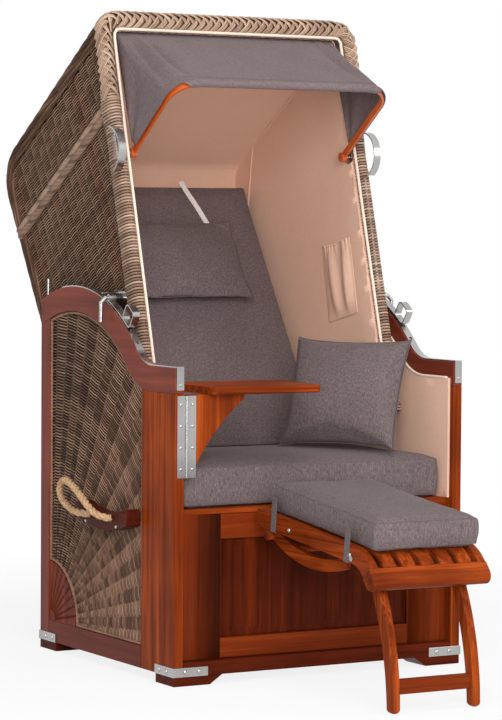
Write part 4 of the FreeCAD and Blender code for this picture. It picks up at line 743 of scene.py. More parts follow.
def runs_over(tree, place, out, low, high, step):
    """Stretches of a line that lie over a panel."""
    runs, start, last = [], None, None
    for k in range(int((high - low) / step) + 1):
        at = low + k * step
        hit, normal, _, _ = tree.ray_cast(place(at) + out * 0.03, -out, 0.05)
        if hit is not None and normal.dot(out) > 0.4:
            start = at if start is None else start
            last = at
        elif start is not None:
            runs.append((start, last))
            start = None
    if start is not None:
        runs.append((start, last))
    return [run for run in runs if run[1] - run[0] > 2.0 * step]


def weave_over(strands, tree, place, out, rows, columns, row_tone, cane_width):
    """Rows over and under the stakes of a panel; place(t, r) is a spot on its face."""
    t_low, t_high, t_step, stake = columns
    r_low, r_high, pitch = rows
    quarter = stake / 4.0
    for row in range(int((r_high - r_low) / pitch) + 1):
        r = r_low + row * pitch
        tone = row_tone(row)
        for start, end in runs_over(tree, lambda t: place(t, r), out, t_low, t_high, t_step):
            spots = [start]
            at = (math.floor(start / quarter) + 1) * quarter
            while at < end - quarter * 0.3:
                spots.append(at)
                at += quarter
            spots.append(end)
            centres = [place(t, r) + out * weave_lift(t, stake, row) for t in spots]
            sides = [(place(t, r + pitch) - place(t, r)).normalized() for t in spots]
            strands.sweep(centres, sides, out, cane_profile(cane_width, CANE_HEIGHT), tone,
                          closed=False)
    t = math.ceil(t_low / stake) * stake
    while t < t_high:
        for start, end in runs_over(tree, lambda r: place(t, r), out, r_low, r_high, 0.004):
            count = max(2, int((end - start) / 0.05))
            centres = [place(t, start + (end - start) * k / count) - out * WEAVE_DEPTH
                       for k in range(count + 1)]
            side = (place(t + t_step, start) - place(t, start)).normalized()
            strands.sweep(centres, side, out, STAKE_PROFILE, stake_shade_tone(), cap=False)
        t += stake


def panel_outlines(node, side):
    """Outlines of a node's outer face, drawn in a little."""
    mesh = frame["nodes"][node].data
    reach = max(side * vertex.co.x for vertex in mesh.vertices)
    seen = {}
    for face in mesh.polygons:
        spots = [mesh.vertices[index].co for index in face.vertices]
        if min(side * place.x for place in spots) > reach - 0.0002:
            ends = [tuple(round(number, 5) for number in place) for place in spots]
            for edge in zip(ends, ends[1:] + ends[:1]):
                if edge[::-1] in seen:
                    del seen[edge[::-1]]
                else:
                    seen[edge] = True
    onward = dict(seen.keys())
    while onward:
        start = at = next(iter(onward))
        loop = [Vector(start)]
        while at in onward:
            at = onward.pop(at)
            loop.append(Vector(at))
        middle = sum(loop, Vector()) / len(loop)
        run = evened(loop, 0.006)
        made = []
        for place, point in enumerate(run):
            way = run[(place + 1) % len(run)] - run[place - 1]
            inward = Vector((0, -way.z, way.y)).normalized()
            inward *= 1.0 if inward.dot(middle - point) > 0.0 else -1.0
            made.append(point + inward * 0.0042)
        yield made


def make_base_weave():
    """Side walls woven in rings round the carved corner."""
    tree = node_tree("side_panels")
    for side, name in SIDES:
        def place(turn, radius):
            angle = math.pi / 2 + turn
            return spot(side * (WALL_MIDDLE + 0.007), FAN_HUB[0] + radius * math.cos(angle),
                        FAN_HUB[1] + radius * math.sin(angle))

        strands = Strands()
        weave_over(strands, tree, place, ACROSS * side, (0.154, 1.0, BASE_ROW),
                   (0.0, math.pi / 2, 0.0025, BASE_STAKE), row_tones(*BASE_TONES), BASE_CANE)
        for loop in panel_outlines("side_panels", side):
            twisted(strands, loop, count=2, lay=0.0021, wide=0.0022, pitch=0.020, sides=5,
                    tone=0.62)
        settle(strands.piece("base_weave_" + name, base_wicker), "base", "wicker")

    # The side panels' copy lies below the canes, near-black as painted shadow in the gaps of the
    # weave.
    def sunk(point):
        if abs(point.x) > WALL_MIDDLE:
            point.x -= math.copysign(0.0042, point.x)
        return point

    core = make_core("side_panels", "base_weave_shadow_core", painted_shadow_core, SHADOW_CORE_TONE, sunk)
    settle(core, "base", "wicker", "side_panels")


def hood_profile():
    """The hood's outer line from the roof's front edge to the foot of its back."""
    reach = (hood_spot(0.0, 0.0, 0.0) - front_spot(0.0, 0.0, 0.0)).dot(HOOD_UP) - ROOF_DROP
    line = [front_spot(0.0, -reach / RIM_UP.dot(HOOD_UP), 0.0)]
    centre = hood_spot(0.0, ROOF_DROP + HOOD_CORNER, HOOD_CORNER)
    turn = math.atan2(BACK_UP[1], BACK_UP[0])
    for k in range(11):
        angle = turn - math.pi / 2 * k / 10
        line.append(centre + Vector((0, math.cos(angle), math.sin(angle))) * HOOD_CORNER)
    return line + [hood_spot(0.0, BACK_LENGTH, 0.0)]


def make_hood_sides():
    top = hood_spot(0.0, 0.0, 0.0)
    for side, name in SIDES:
        node = "hood_side_" + name

        def place(t, below):
            return top + ACROSS * side * HOOD_OUT - HOOD_REAR * t - HOOD_UP * below

        def sunk(point):
            point.x = side * min(abs(point.x), HOOD_OUT - 0.0040)
            return point

        strands = Strands()
        weave_over(strands, node_tree(node), place, ACROSS * side,
                   (ROOF_DROP + 0.034, 1.15, HOOD_ROW), (0.030, 0.75, 0.002, HOOD_STAKE),
                   row_tones(*HOOD_TONES), HOOD_CANE)
        weave = strands.piece("hood_weave_" + name, wicker)
        # A near-black copy of the side lies below the canes as painted shadow in the gaps.
        core = make_core(node, "hood_shadow_core_" + name, painted_shadow_core, SHADOW_CORE_TONE, sunk)
        settle(joined("hood_weave_" + name, weave, core), "hood", "wicker", node)


def make_hood_weave():
    """The woven sides, the weave over the roof and down the back, and the rolls."""
    make_hood_sides()
    line = evened(hood_profile(), HOOD_ROW)
    outs = []
    for place in range(len(line)):
        run = way_at(line, place)
        outs.append(Vector((0, -run.z, run.y)).normalized())
    strands = Strands()
    tone = row_tones(*HOOD_TONES)
    count = int(2 * HOOD_IN / HOOD_STAKE * 4)
    places = [-HOOD_IN + 2 * HOOD_IN * k / count for k in range(count + 1)]
    for row, (point, out) in enumerate(zip(line, outs)):
        centres = [point + ACROSS * x + out * weave_lift(x, HOOD_STAKE, row) for x in places]
        strands.sweep(centres, Vector((0, out.z, -out.y)), out,
                      cane_profile(HOOD_CANE, CANE_HEIGHT), tone(row), closed=False)
    fewer, fewer_outs = line[::4], outs[::4]
    x = -HOOD_IN + HOOD_STAKE / 2
    while x < HOOD_IN:
        centres = [point + ACROSS * x - out * WEAVE_DEPTH for point, out in zip(fewer, fewer_outs)]
        strands.sweep(centres, ACROSS, fewer_outs, STAKE_PROFILE, stake_shade_tone(), cap=False)
        x += HOOD_STAKE
    weave = strands.piece("hood_weave_back", wicker)
    # A near-black strip below the roof and back canes: painted shadow in the gaps.
    inner = Strands()
    inner.sweep([point - out * 0.011 for point, out in zip(fewer, fewer_outs)], ACROSS, fewer_outs,
                [(-HOOD_IN, -0.005), (HOOD_IN, -0.005), (HOOD_IN, 0.0070), (-HOOD_IN, 0.0070)],
                SHADOW_CORE_TONE)
    core = inner.piece("hood_shadow_core_back", painted_shadow_core)
    settle(joined("hood_weave_back", weave, core), "hood", "wicker", "hood_roof", "hood_back")
    make_hood_rolls(line[1::4], outs[1::4])


EDGE_ROLLS = (  # in from the hood's side, lift, radius and the canes' tones
    (0.0085, -0.0020, 0.0122, (0.32, 0.42, 0.26, 0.20, 0.18, 0.24, 0.46, 0.26)),
    (0.0020, -0.0215, 0.0070, (0.26, 0.44, 0.20, 0.36, 0.24, 0.48)),
    (0.0300, 0.0000, 0.0095, (0.26, 0.22, 0.36, 0.18, 0.26, 0.20, 0.34, 0.24)))
SIDE_ROLLS = (  # below the hood's corner, inset of the front end and the canes' tones
    (0.206, 0.566, (0.66, 0.58, 0.70, 0.52, 0.62, 0.56, 0.24, 0.44)),
    # The lower roll: its darker tones are painted shade.
    (0.2225, 0.56402, (0.42, 0.34, 0.46, 0.26, 0.38, 0.30, 0.10, 0.22)))


def wound_roll(strands, points, radius, pitch, tones):
    """A roll wound with canes side by side; tones repeat round it."""
    count = len(tones)
    thick = radius * math.sin(math.pi / count) * 0.94
    for place, tone in enumerate(tones):
        twisted(strands, points, count=1, lay=radius - thick * 0.6, wide=thick, pitch=pitch,
                sides=5, tone=tone, start=2 * math.pi * place / count)


def make_hood_rolls(line, outs):
    """Wound rolls along the hood's edges, and the pale pair across each side."""
    for side, name in SIDES:
        strands = Strands()
        for inset, lift, radius, tones in EDGE_ROLLS:
            run = [point + ACROSS * side * (HOOD_OUT - inset) + out * lift
                   for point, out in zip(line, outs)]
            wound_roll(strands, run, radius, 0.420, tones)
        settle(strands.piece("hood_edge_roll_" + name, base_wicker), "hood", "wicker")
        strands = Strands()
        for below, reach, tones in SIDE_ROLLS:
            ends = [hood_spot(side * (HOOD_OUT + 0.001), below, inset) for inset in (0.004, reach)]
            wound_roll(strands, evened(ends, 0.008), 0.0086, 0.070, tones)
        settle(strands.piece("hood_side_roll_" + name, pale_cane), "hood", "braid")


# Rim of the hood
PLAIT_SHORT = 0.050
PLAIT_PITCH = 0.0215
PLAIT_ARM = (  # across, out and ahead, from the plait's edge to its middle
    (0.98, -0.05, -0.55), (1.04, 0.25, -0.15), (0.92, 0.56, 0.22), (0.60, 0.80, 0.60),
    (0.18, 0.89, 1.00), (-0.16, 0.82, 1.30), (-0.36, 0.62, 1.48))
WRAP_PITCH = 0.0075
WRAP_LINE = (  # across and out, round the edge
    (-1.0, -0.05), (-0.98, 0.42), (-0.80, 0.76), (-0.42, 0.95), (0.10, 1.0), (0.55, 0.90),
    (0.88, 0.62), (1.0, 0.22), (1.0, -0.25), (0.96, -0.75), (0.78, -1.0))


def rim_line():
    """The middle of the braid from its left end over the top to its right end."""
    half = HOOD_OUT + BRAID_LIP - BRAID_WIDTH / 2
    turn = BRAID_CORNER - BRAID_WIDTH / 2
    top = BRAID_WIDTH / 2
    line = [(-half, BRAID_LENGTH), (-half, top + turn)]
    for k in range(1, 9):
        angle = math.pi / 2 * k / 8
        line.append((-half + turn - turn * math.cos(angle), top + turn - turn * math.sin(angle)))
    return line + [(-x, below) for x, below in reversed(line)]


def make_braid():
    """Plait of four-cane ribbons that cross in the middle of the rim."""
    flat = evened([Vector((x, below, 0.0)) for x, below in rim_line()], 0.002)
    total = lengths_of(flat)[-1]
    half = BRAID_WIDTH / 2

    def plait_spot(s, across, out):
        """A spot at s along the rim, across it and out from the panels."""
        at = clamp(s / total) * (len(flat) - 1)
        place = min(int(at), len(flat) - 2)
        here = flat[place].lerp(flat[place + 1], at - place)
        way = way_at(flat, place, before=2, after=3).normalized()
        normal = Vector((-way.y, way.x, 0.0))
        across *= 1.0 - (0.27 * abs(normal.x) if across > 0.0 else 0.0)
        across -= 0.55 * abs(normal.x) * half * (1.0 - min(abs(across / half), 1.0) ** 2)
        return front_spot(here.x + normal.x * across, here.y + normal.y * across, out)

    def ribbon(s, hand):
        tone = 0.34 + 0.24 * chance.random()
        centres = [plait_spot(s + ahead * 0.020, hand * across * half, out * RIM_DEPTH)
                   for across, out, ahead in PLAIT_ARM]
        middle = plait_spot(s, 0.0, RIM_DEPTH * 0.3)
        sides, outs = [], []
        for place, centre in enumerate(centres):
            way = way_at(centres, place).normalized()
            out = centre - middle
            out = (out - way * out.dot(way)).normalized()
            outs.append(out)
            sides.append(out.cross(way))
        for lay in range(4):
            shift = (lay - 1.5) * 0.0046
            strands.sweep([centre + side * shift for centre, side in zip(centres, sides)], sides,
                          outs, oval(0.0019, 0.0023, 5), tone + 0.50 * chance.random(), cap=False)

    def sunk(point):
        out = (point - front_spot(0.0, 0.0, 0.0)).dot(RIM_OUT)
        point -= RIM_OUT * max(out - 0.002, 0.0) * 0.42
        if abs(point.x) > HOOD_OUT + BRAID_LIP - 0.012:
            point.x -= math.copysign(0.006, point.x)
        return point

    strands = Strands()
    for k in range(int(total / PLAIT_PITCH) + 1):
        for hand, shift in ((-1, 0.0), (1, PLAIT_PITCH / 2)):
            s = k * PLAIT_PITCH + shift
            if PLAIT_SHORT < s < total - PLAIT_SHORT - 0.016:
                ribbon(s, hand)
    braid = strands.piece("hood_plait", pale_cane)
    core = make_core("hood_braid", "plait_core", pale_cane, 0.06, sunk)
    settle(joined("hood_plait", braid, core), "hood", "braid", "hood_braid")


def edge_length(short):
    """How far below the hood's top its wound front edges end."""
    high = front_spot(0.0, 0.0, WRAP_DEPTH).z
    return (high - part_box("hood_wraps")[0].z) / FRONT_UP[1] - short


def make_wraps():
    """Turns of cane wound round the hood's front edges, from below the plait to their feet."""
    top = BRAID_LENGTH - PLAIT_SHORT
    inner = MOUTH + 0.0005
    for side, name in SIDES:
        strands = Strands()
        for turn in range(-4, int((edge_length(0.008) - top) / WRAP_PITCH)):
            below = top + (turn + 0.5) * WRAP_PITCH
            share = clamp((below - BRAID_LENGTH + 0.02) / 0.04)
            outer = HOOD_OUT + 0.0145 - 0.0055 * share
            deep = 0.030 - 0.003 * share - (0.006 if turn < 0 else 0.0)
            middle_x = (inner + outer) / 2
            half = (outer - inner) / 2
            middle = front_spot(side * middle_x, below, 0.2 * deep)
            centres, outs = [], []
            for x, ahead in WRAP_LINE:
                centre = front_spot(side * (middle_x + half * x), below, deep * ahead)
                out = centre - middle
                outs.append((out - RIM_UP * out.dot(RIM_UP)).normalized())
                centres.append(centre - outs[-1] * 0.002)
            pale = 0.16 if below < BRAID_LENGTH + 0.03 or chance.random() < 0.2 else 0.0
            strands.sweep(centres, RIM_UP, outs, oval(0.0031, 0.0030, 5),
                          0.26 + 0.48 * chance.random() + pale, cap=False)
        wraps = strands.piece("hood_edge_turns_" + name, pale_cane)
        settle(wraps, "hood", "braid")
        if side > 0:
            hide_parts("hood_wraps")


def make_mouth_piping():
    """Cream piping round the mouth of the hood."""
    inner = MOUTH - 0.0022
    shoulder = BRAID_WIDTH + 0.02
    line = [front_spot(-inner, edge_length(0.01), 0.016),
            front_spot(-inner, BRAID_LENGTH, 0.016), front_spot(-inner, shoulder, 0.020)]
    for k in range(1, 6):
        angle = math.pi / 2 * k / 5
        line.append(front_spot(-inner + 0.014 - 0.014 * math.cos(angle),
                               shoulder - 0.0168 * math.sin(angle), 0.022))
    line += [Vector((-point.x, point.y, point.z)) for point in reversed(line)]
    settle(tube("mouth_piping", line, 0.0038, piping_cloth, 8, 0.012), "hood", "lining_cloth")


# Soft goods
CLOTH_FRAMES = 20
CLOTH_SETTINGS = {
    "quality": 4, "mass": 0.3, "tension_stiffness": 12.0, "compression_stiffness": 12.0,
    "bending_stiffness": 0.4, "use_pressure": True, "uniform_pressure_force": 4.0}
SEAM_TURN = math.radians(25.0)
SEAM_STEP = 0.012
CLOTH_UP = Vector((0, -0.36, 0.93))


def gridded(piece, *ways):
    """Cut a piece's faces by planes at even steps along each (way, step)."""
    with reshaped(piece) as shape:
        for way, step in ways:
            reaches = [vertex.co.dot(way) for vertex in shape.verts]
            at = math.floor(min(reaches) / step) * step + step / 2
            while at < max(reaches):
                bmesh.ops.bisect_plane(shape, geom=[*shape.verts, *shape.edges, *shape.faces],
                                       dist=1e-6, plane_co=way * at, plane_no=way)
                at += step
    return rounded(piece)


def blown_up(piece, cap):
    """Blow a pad up as cloth and cap how far each point may move."""
    start = [vertex.co.copy() for vertex in piece.data.vertices]
    cloth = piece.modifiers.new("blown_up", "CLOTH")
    for name, setting in CLOTH_SETTINGS.items():
        setattr(cloth.settings, name, setting)
    cloth.settings.effector_weights.gravity = 0.0
    cloth.point_cache.frame_start = 1
    cloth.point_cache.frame_end = CLOTH_FRAMES
    for frame_number in range(1, CLOTH_FRAMES + 1):
        bpy.context.scene.frame_set(frame_number)
    apply_all(piece)
    bpy.context.scene.frame_set(1)
    for vertex, old in zip(piece.data.vertices, start):
        move = vertex.co - old
        if move.length > cap:
            vertex.co = old + move * (cap / move.length)


def finer(piece):
    return rounded(modified(piece, "SUBSURF", levels=1, render_levels=1))


def seams_on(piece, node):
    """Sewn seams along a solid's sharp edges, laid on the piece that stands for it."""
    lines = copy_of(node, piece.name + "_seams")
    tree = tree_of(piece)
    with reshaped(lines) as shape:
        soft = [edge for edge in shape.edges
                if len(edge.link_faces) != 2 or edge.calc_face_angle() < SEAM_TURN]
        bmesh.ops.delete(shape, geom=shape.faces[:], context="FACES_ONLY")
        bmesh.ops.delete(shape, geom=soft, context="EDGES")
        for _ in range(8):
            wide = [edge for edge in shape.edges if edge.calc_length() > SEAM_STEP]
            if wide:
                bmesh.ops.subdivide_edges(shape, edges=wide, cuts=1)
        for vertex in shape.verts:
            vertex.co = tree.find_nearest(vertex.co)[0]
    pick(lines)
    bpy.ops.object.convert(target="CURVE")
    lines = bpy.context.object
    lines.data.bevel_depth = 0.0010
    lines.data.bevel_resolution = 1
    bpy.ops.object.convert(target="MESH")
    lines = bpy.context.object
    lines.data.materials.clear()
    lines.data.materials.append(seam_cloth)
    return joined(piece.name, piece, rounded(lines))


def make_cushion(node, body, voxel=0.009, shrink=0.004, cap=0.009):
    """A pad blown up from a slightly smaller copy of its solid, with its seams."""
    piece = modified(copy_of(node, node + "_sewn"), "REMESH", mode="VOXEL", voxel_size=voxel)
    normals = [vertex.normal.copy() for vertex in piece.data.vertices]
    for vertex, normal in zip(piece.data.vertices, normals):
        vertex.co -= normal * shrink
    piece.data.update()
    blown_up(piece, cap)
    finer(piece).data.materials.append(cushion_cloth)
    piece = settle(seams_on(piece, node), body, "cushion_cloth", node)
    return piece


def set_down(piece):
    """Let the lower end of the back cushion down to the seat, so that it ends level."""
    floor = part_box("seat_cushion")[1].z - 0.006
    foot = min(vertex.co.dot(HOOD_UP) for vertex in piece.data.vertices)
    rear = min(vertex.co.dot(-HOOD_REAR) for vertex in piece.data.vertices)
    for vertex in piece.data.vertices:
        share = 1.0 - (vertex.co.dot(HOOD_UP) - foot) / 0.16
        if share > 0.0:
            ahead = vertex.co.dot(-HOOD_REAR) - rear
            drop = (ahead * BACK_UP[0] / BACK_UP[1] + 0.016) * share
            vertex.co -= HOOD_UP * max(min(drop, (vertex.co.z - floor) / BACK_UP[1]), 0.0)
    piece.data.update()


def corners_of(node):
    """The four corners of a pillow's solid, in turn."""
    points = [vertex.co.copy() for vertex in frame["nodes"][node].data.vertices]
    middle = sum(points, Vector()) / len(points)
    first = max(points, key=lambda point: (point - middle).length)
    third = max(points, key=lambda point: (point - first).length)
    way = (third - first).normalized()
    second = max(points, key=lambda point: (point - first).cross(way).length)
    fourth = max(points, key=lambda point: (point - second).length)
    return first, second, third, fourth


def make_pillow(node, body, thick, seed):
    """A knife-edge pillow: two sheets sewn along their edges and then blown up as cloth."""
    first, second, third, fourth = corners_of(node)
    middle = (first + second + third + fourth) / 4
    normal = (third - first).cross(fourth - second).normalized()
    count = 48
    points, faces, places = [], [], {}

    def corner(column, row, layer):
        edge = column in (0, count) or row in (0, count)
        key = (column, row, 0 if edge else layer)
        if key in places:
            return places[key]
        u, v = column / count, row / count
        a, b = 2.0 * u - 1.0, 2.0 * v - 1.0
        drawn = 0.050 * (1.0 - a * a) * b * b + 0.050 * (1.0 - b * b) * a * a
        point = first.lerp(second, u).lerp(fourth.lerp(third, u), v).lerp(middle, drawn)
        full = ((1.0 - a * a) * (1.0 - b * b)) ** 0.55
        rim = hump(1.0 - max(abs(a), abs(b)), 0.22)
        along = a if abs(b) > abs(a) else b
        wrinkle = noise.noise(Vector((9.0 * along, 3.0 * layer + seed, 2.0 * abs(b))))
        pucker = 0.0030 * rim * full ** 0.5 * wrinkle
        dent = 0.0035 * noise.noise(Vector((1.7 * a, 1.7 * b, 5.0 * layer + seed)))
        points.append(point + normal * (layer * (0.46 * thick * full + pucker) + dent * full))
        places[key] = len(points) - 1
        return places[key]

    for layer in (-1, 1):
        for row in range(count):
            for column in range(count):
                ring = [corner(column, row, layer), corner(column + 1, row, layer),
                        corner(column + 1, row + 1, layer), corner(column, row + 1, layer)]
                faces.append(tuple(ring if layer > 0 else ring[::-1]))
    piece = faced_out(new_piece(node + "_sewn", points, faces, cushion_cloth))
    blown_up(piece, 0.010)
    edge = [(k, 0) for k in range(count)] + [(count, k) for k in range(count)]
    edge += [(count - k, count) for k in range(count)] + [(0, count - k) for k in range(count + 1)]
    border = [piece.data.vertices[places[(*at, 0)]].co.copy() for at in edge]
    finer(piece)
    piece = joined(piece.name, piece, tube("pillow_seam", border, 0.0013, seam_cloth, 6, 0.006))
    settle(piece, body, "cushion_cloth", node)


def make_cushions():
    make_cushion("seat_cushion", "base")
    back = make_cushion("back_cushion", "hood")
    set_down(back)
    make_tapes(back)
    make_pillow("head_pillow", "hood", 0.078, 1)
    make_pillow("throw_pillow", "base", 0.116, 2)
    make_cushion("footrest_cushion", "footrest", voxel=0.007, shrink=0.003, cap=0.008)


def bow_frame(share):
    """The bar's middle and its outward way, for 0 at the bow's middle to 3 at its right eye."""
    ahead = Vector((0, -math.cos(BOW_RISE), math.sin(BOW_RISE)))
    if share <= 1.0:
        return bow_spot(BOW_STRAIGHT * share, BOW_REACH), ahead
    if share <= 2.0:
        turn = math.pi / 2 * (share - 1.0)
        reach = BOW_REACH - BOW_CORNER * (1.0 - math.cos(turn))
        return (bow_spot(BOW_STRAIGHT + BOW_CORNER * math.sin(turn), reach),
                ahead * math.cos(turn) + ACROSS * math.sin(turn))
    straight_end = BOW_REACH - BOW_CORNER
    reach = straight_end + (BOW_EYE - straight_end) * (share - 2.0)
    return bow_spot(BOW_HALF_WIDTH, reach), ACROSS


AWNING_ROWS = 26
AWNING_RIDGES = (  # place, breadth and height
    (0.93, 0.10, 0.005), (1.17, 0.09, -0.009), (1.42, 0.09, 0.011), (1.66, 0.08, -0.009),
    (1.86, 0.08, 0.007))


def awning_column(share):
    """One line of the awning from its seam at the hood to the end of its hem round the bow."""
    above = Vector((0, math.sin(BOW_RISE), math.cos(BOW_RISE)))
    wide = BOW_HALF_WIDTH + 0.0092
    side_on = clamp(share - 1.0)
    if share <= 1.0:
        rear_x = BOW_STRAIGHT * share
    else:
        rear_x = BOW_STRAIGHT + (wide - BOW_STRAIGHT) * side_on
    rear = front_spot(rear_x, BRAID_WIDTH + 0.0034, 0.0)
    if share > 2.0:
        rear = rear.lerp(bow_spot(wide, 0.030, 0.018), share - 2.0)
    middle, out = bow_frame(share)
    touch = math.radians(-32.0 + 122.0 * side_on ** 0.8)
    turn = math.radians(262.0 - 238.0 * min(max(side_on - 0.18, 0.0) / 0.25, 1.0))
    radius = 0.0101 - 0.0009 * side_on

    def on_bar(angle):
        return middle + (above * math.cos(angle) + out * math.sin(angle)) * radius

    line = []
    for row in range(AWNING_ROWS + 1):
        v = row / AWNING_ROWS
        point = rear.lerp(on_bar(touch), v)
        bulge = math.sin(math.pi * v)
        if share <= 2.0:
            ridge = sum(high * hump(share - at, broad) for at, broad, high in AWNING_RIDGES)
            lift = -0.0040 * bulge * (1.0 - 0.5 * side_on) + ridge * bulge
            point += CLOTH_UP * (lift + 0.0012 * bulge * noise.noise(point * 14.0))
        else:
            fold = 0.5 - 0.5 * math.cos(2 * math.pi * 2.0 * v)
            ease = min((share - 2.0) / 0.25, 1.0) * min((3.0 - share) / 0.2, 1.0)
            point.x += 0.0050 * fold * ease
        line.append(point)
    return line + [on_bar(touch + turn * step / 9) for step in range(1, 10)]


def make_awning_cloth():
    """Awning: sewn below the plait, hemmed round the bow and folded at its sides."""
    shares = [k / 16 for k in range(16)]
    shares += [1.0 + k / 30 for k in range(30)] + [2.0 + k / 18 for k in range(19)]
    right = [awning_column(share) for share in shares]
    left = [[Vector((-point.x, point.y, point.z)) for point in line]
            for line in reversed(right[1:])]
    columns = left + right
    cloth = make_sheet("awning_cloth", columns, awning_weave, 0.0016)
    stitches = Strands()
    hem = evened([line[24] for line in columns[34:-34]], 0.0052)
    for before, after in zip(hem, hem[1:]):
        ends = [before + CLOTH_UP * 0.0012, before.lerp(after, 0.62) + CLOTH_UP * 0.0012]
        side = (after - before).normalized().cross(CLOTH_UP).normalized()
        stitches.sweep(ends, side, CLOTH_UP, oval(0.0005, 0.0005, 4), 0.5)
    cloth = joined("awning_cloth", cloth, stitches.piece("awning_stitches", seam_cloth))
    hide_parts("canopy")
    front_spot(0.0, BRAID_WIDTH, 0.0)
    bow_spot(0.0, BOW_REACH)
    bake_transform(cloth)


def make_hood_lining():
    """Cloth lining of the hood with soft folds, and piped seams in its corners."""
    lining = gridded(copy_of("hood_lining", "hood_lining_cloth"), (HOOD_UP, 0.022),
                     (HOOD_REAR, 0.022), (ACROSS, 0.030))
    lining.data.update()
    mouth = front_spot(0.0, 0.0, 0.0)
    moves = []
    for vertex in lining.data.vertices:
        at = vertex.co
        move = Vector()
        inside = -(at - mouth).dot(RIM_OUT)
        soft = noise.noise(at * 5.0) * 0.0016 + noise.noise(at * 13.0) * 0.0006
        fold = 0.0016 * hump(inside - 0.045, 0.014) * (0.6 + noise.noise(at * 3.0))
        on_side = abs(abs(at.x) - LINING_IN) < 0.001 and vertex.normal.x * at.x < 0.0
        if on_side and inside > 0.012:
            move.x = -math.copysign(max(soft + fold, -0.001) + 0.001, at.x)
        elif abs(at.x) < LINING_IN - 0.002 and inside > 0.012:
            move = vertex.normal * soft
        moves.append(move)
    for vertex, move in zip(lining.data.vertices, moves):
        vertex.co += move
    lining.data.materials.append(lining_cloth)
    pieces = [smoothed(lining, 40.0)]
    tree = node_tree("hood_lining")
    for side, _ in SIDES:
        x = side * (LINING_IN - 0.0022)
        line = []
        for k in range(40):
            start = front_spot(x, 0.09, -0.004 - 0.60 * k / 39) - HOOD_UP * 0.1
            hit = tree.ray_cast(start, HOOD_UP, 0.5)[0]
            if hit is not None and tree.ray_cast(start, HOOD_REAR, 0.02)[0] is None:
                line.append(hit - HOOD_UP * 0.0018)
        low = hood_spot(x, 0.20, 0.12)
        for k in range(30):
            hit = tree.ray_cast(low - HOOD_UP * 0.6 * k / 29, HOOD_REAR, 0.4)[0]
            if hit is not None:
                line.append(hit - HOOD_REAR * 0.0018)
        pieces.append(tube("lining_piping", line, 0.0022, lining_cloth))
    lining = joined("hood_lining_cloth", *pieces)
    settle(lining, "hood", "lining_cloth", "hood_lining")


def make_wall_linings():
    """Cloth on the inside of the base's walls, with piping along its top."""
    linings = gridded(copy_of("wall_linings", "wall_lining_cloth"), (Vector((0, 1, 0)), 0.03),
                      (Vector((0, 0, 1)), 0.03))
    linings.data.materials.append(lining_cloth)
    pieces = [smoothed(linings, 40.0)]
    tree = node_tree("wall_linings")
    low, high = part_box("wall_linings")
    for side, _ in SIDES:
        line = []
        for k in range(1, 90):
            start = Vector((side * (high.x - 0.003), low.y + (high.y - low.y) * k / 90, 1.0))
            hit = tree.ray_cast(start, Vector((0, 0, -1)), 0.7)[0]
            if hit is not None:
                line.append(hit + Vector((-side * 0.0022, 0, 0.001)))
        pieces.append(tube("wall_piping", line, 0.0032, piping_cloth))
    linings = joined("wall_lining_cloth", *pieces)
    settle(linings, "base", "lining_cloth", "wall_linings")


def make_pocket():
    """Pocket on the right lining: drawn together at its top, with two soft pleats."""
    turn = math.radians(12.0)
    wide, high = 0.140, 0.200
    across = Vector((0, math.cos(turn), -math.sin(turn)))
    up = Vector((0, math.sin(turn), math.cos(turn)))
    middle = spot(LINING_IN - 0.0008, 0.447, 0.931)
    columns, rows = 60, 48

    def cloth_spot(u, v):
        edge = min(1.0, 9.0 * u, 9.0 * (1.0 - u))
        edge = edge * edge * (3.0 - 2.0 * edge)
        rise = min(1.0, 6.0 * v)
        full = math.sin(math.pi * (0.12 + 0.80 * v))
        shift = 0.10 * (1.0 - v)
        pleat = (hump(u - 0.20 - 0.5 * shift, 0.07 + 0.05 * full)
                 + hump(u - 0.72 + shift, 0.08 + 0.06 * full))
        drawn = max(0.0, (v - 0.80) / 0.20)
        gather = 0.0016 * math.sin(2 * math.pi * (7.5 * u + 0.6 * math.sin(9.0 * u))) * drawn
        lift = edge * rise * (0.0022 + 0.0085 * pleat * full * (1.0 - 0.5 * drawn) + gather
                              + 0.0012 * drawn)
        sag = 0.006 * math.sin(math.pi * u) * drawn
        narrow = 1.0 - 0.05 * drawn
        return (middle + across * wide * narrow * (u - 0.5) + up * (high * (v - 0.5) - sag)
                - ACROSS * max(lift, 0.0004))

    lines = [[cloth_spot(column / columns, row / rows) for column in range(columns + 1)]
             for row in range(rows + 1)]
    pocket = make_sheet("pocket_cloth", lines, lining_cloth, 0.0010)
    top = [point - up * 0.004 - ACROSS * 0.0012 for point in lines[-1]]
    band = tube("pocket_band", top, 0.0011, lining_cloth, 6, 0.003)
    pocket = joined("pocket_cloth", pocket, band)
    settle(pocket, "hood", "lining_cloth", "lining_pocket")


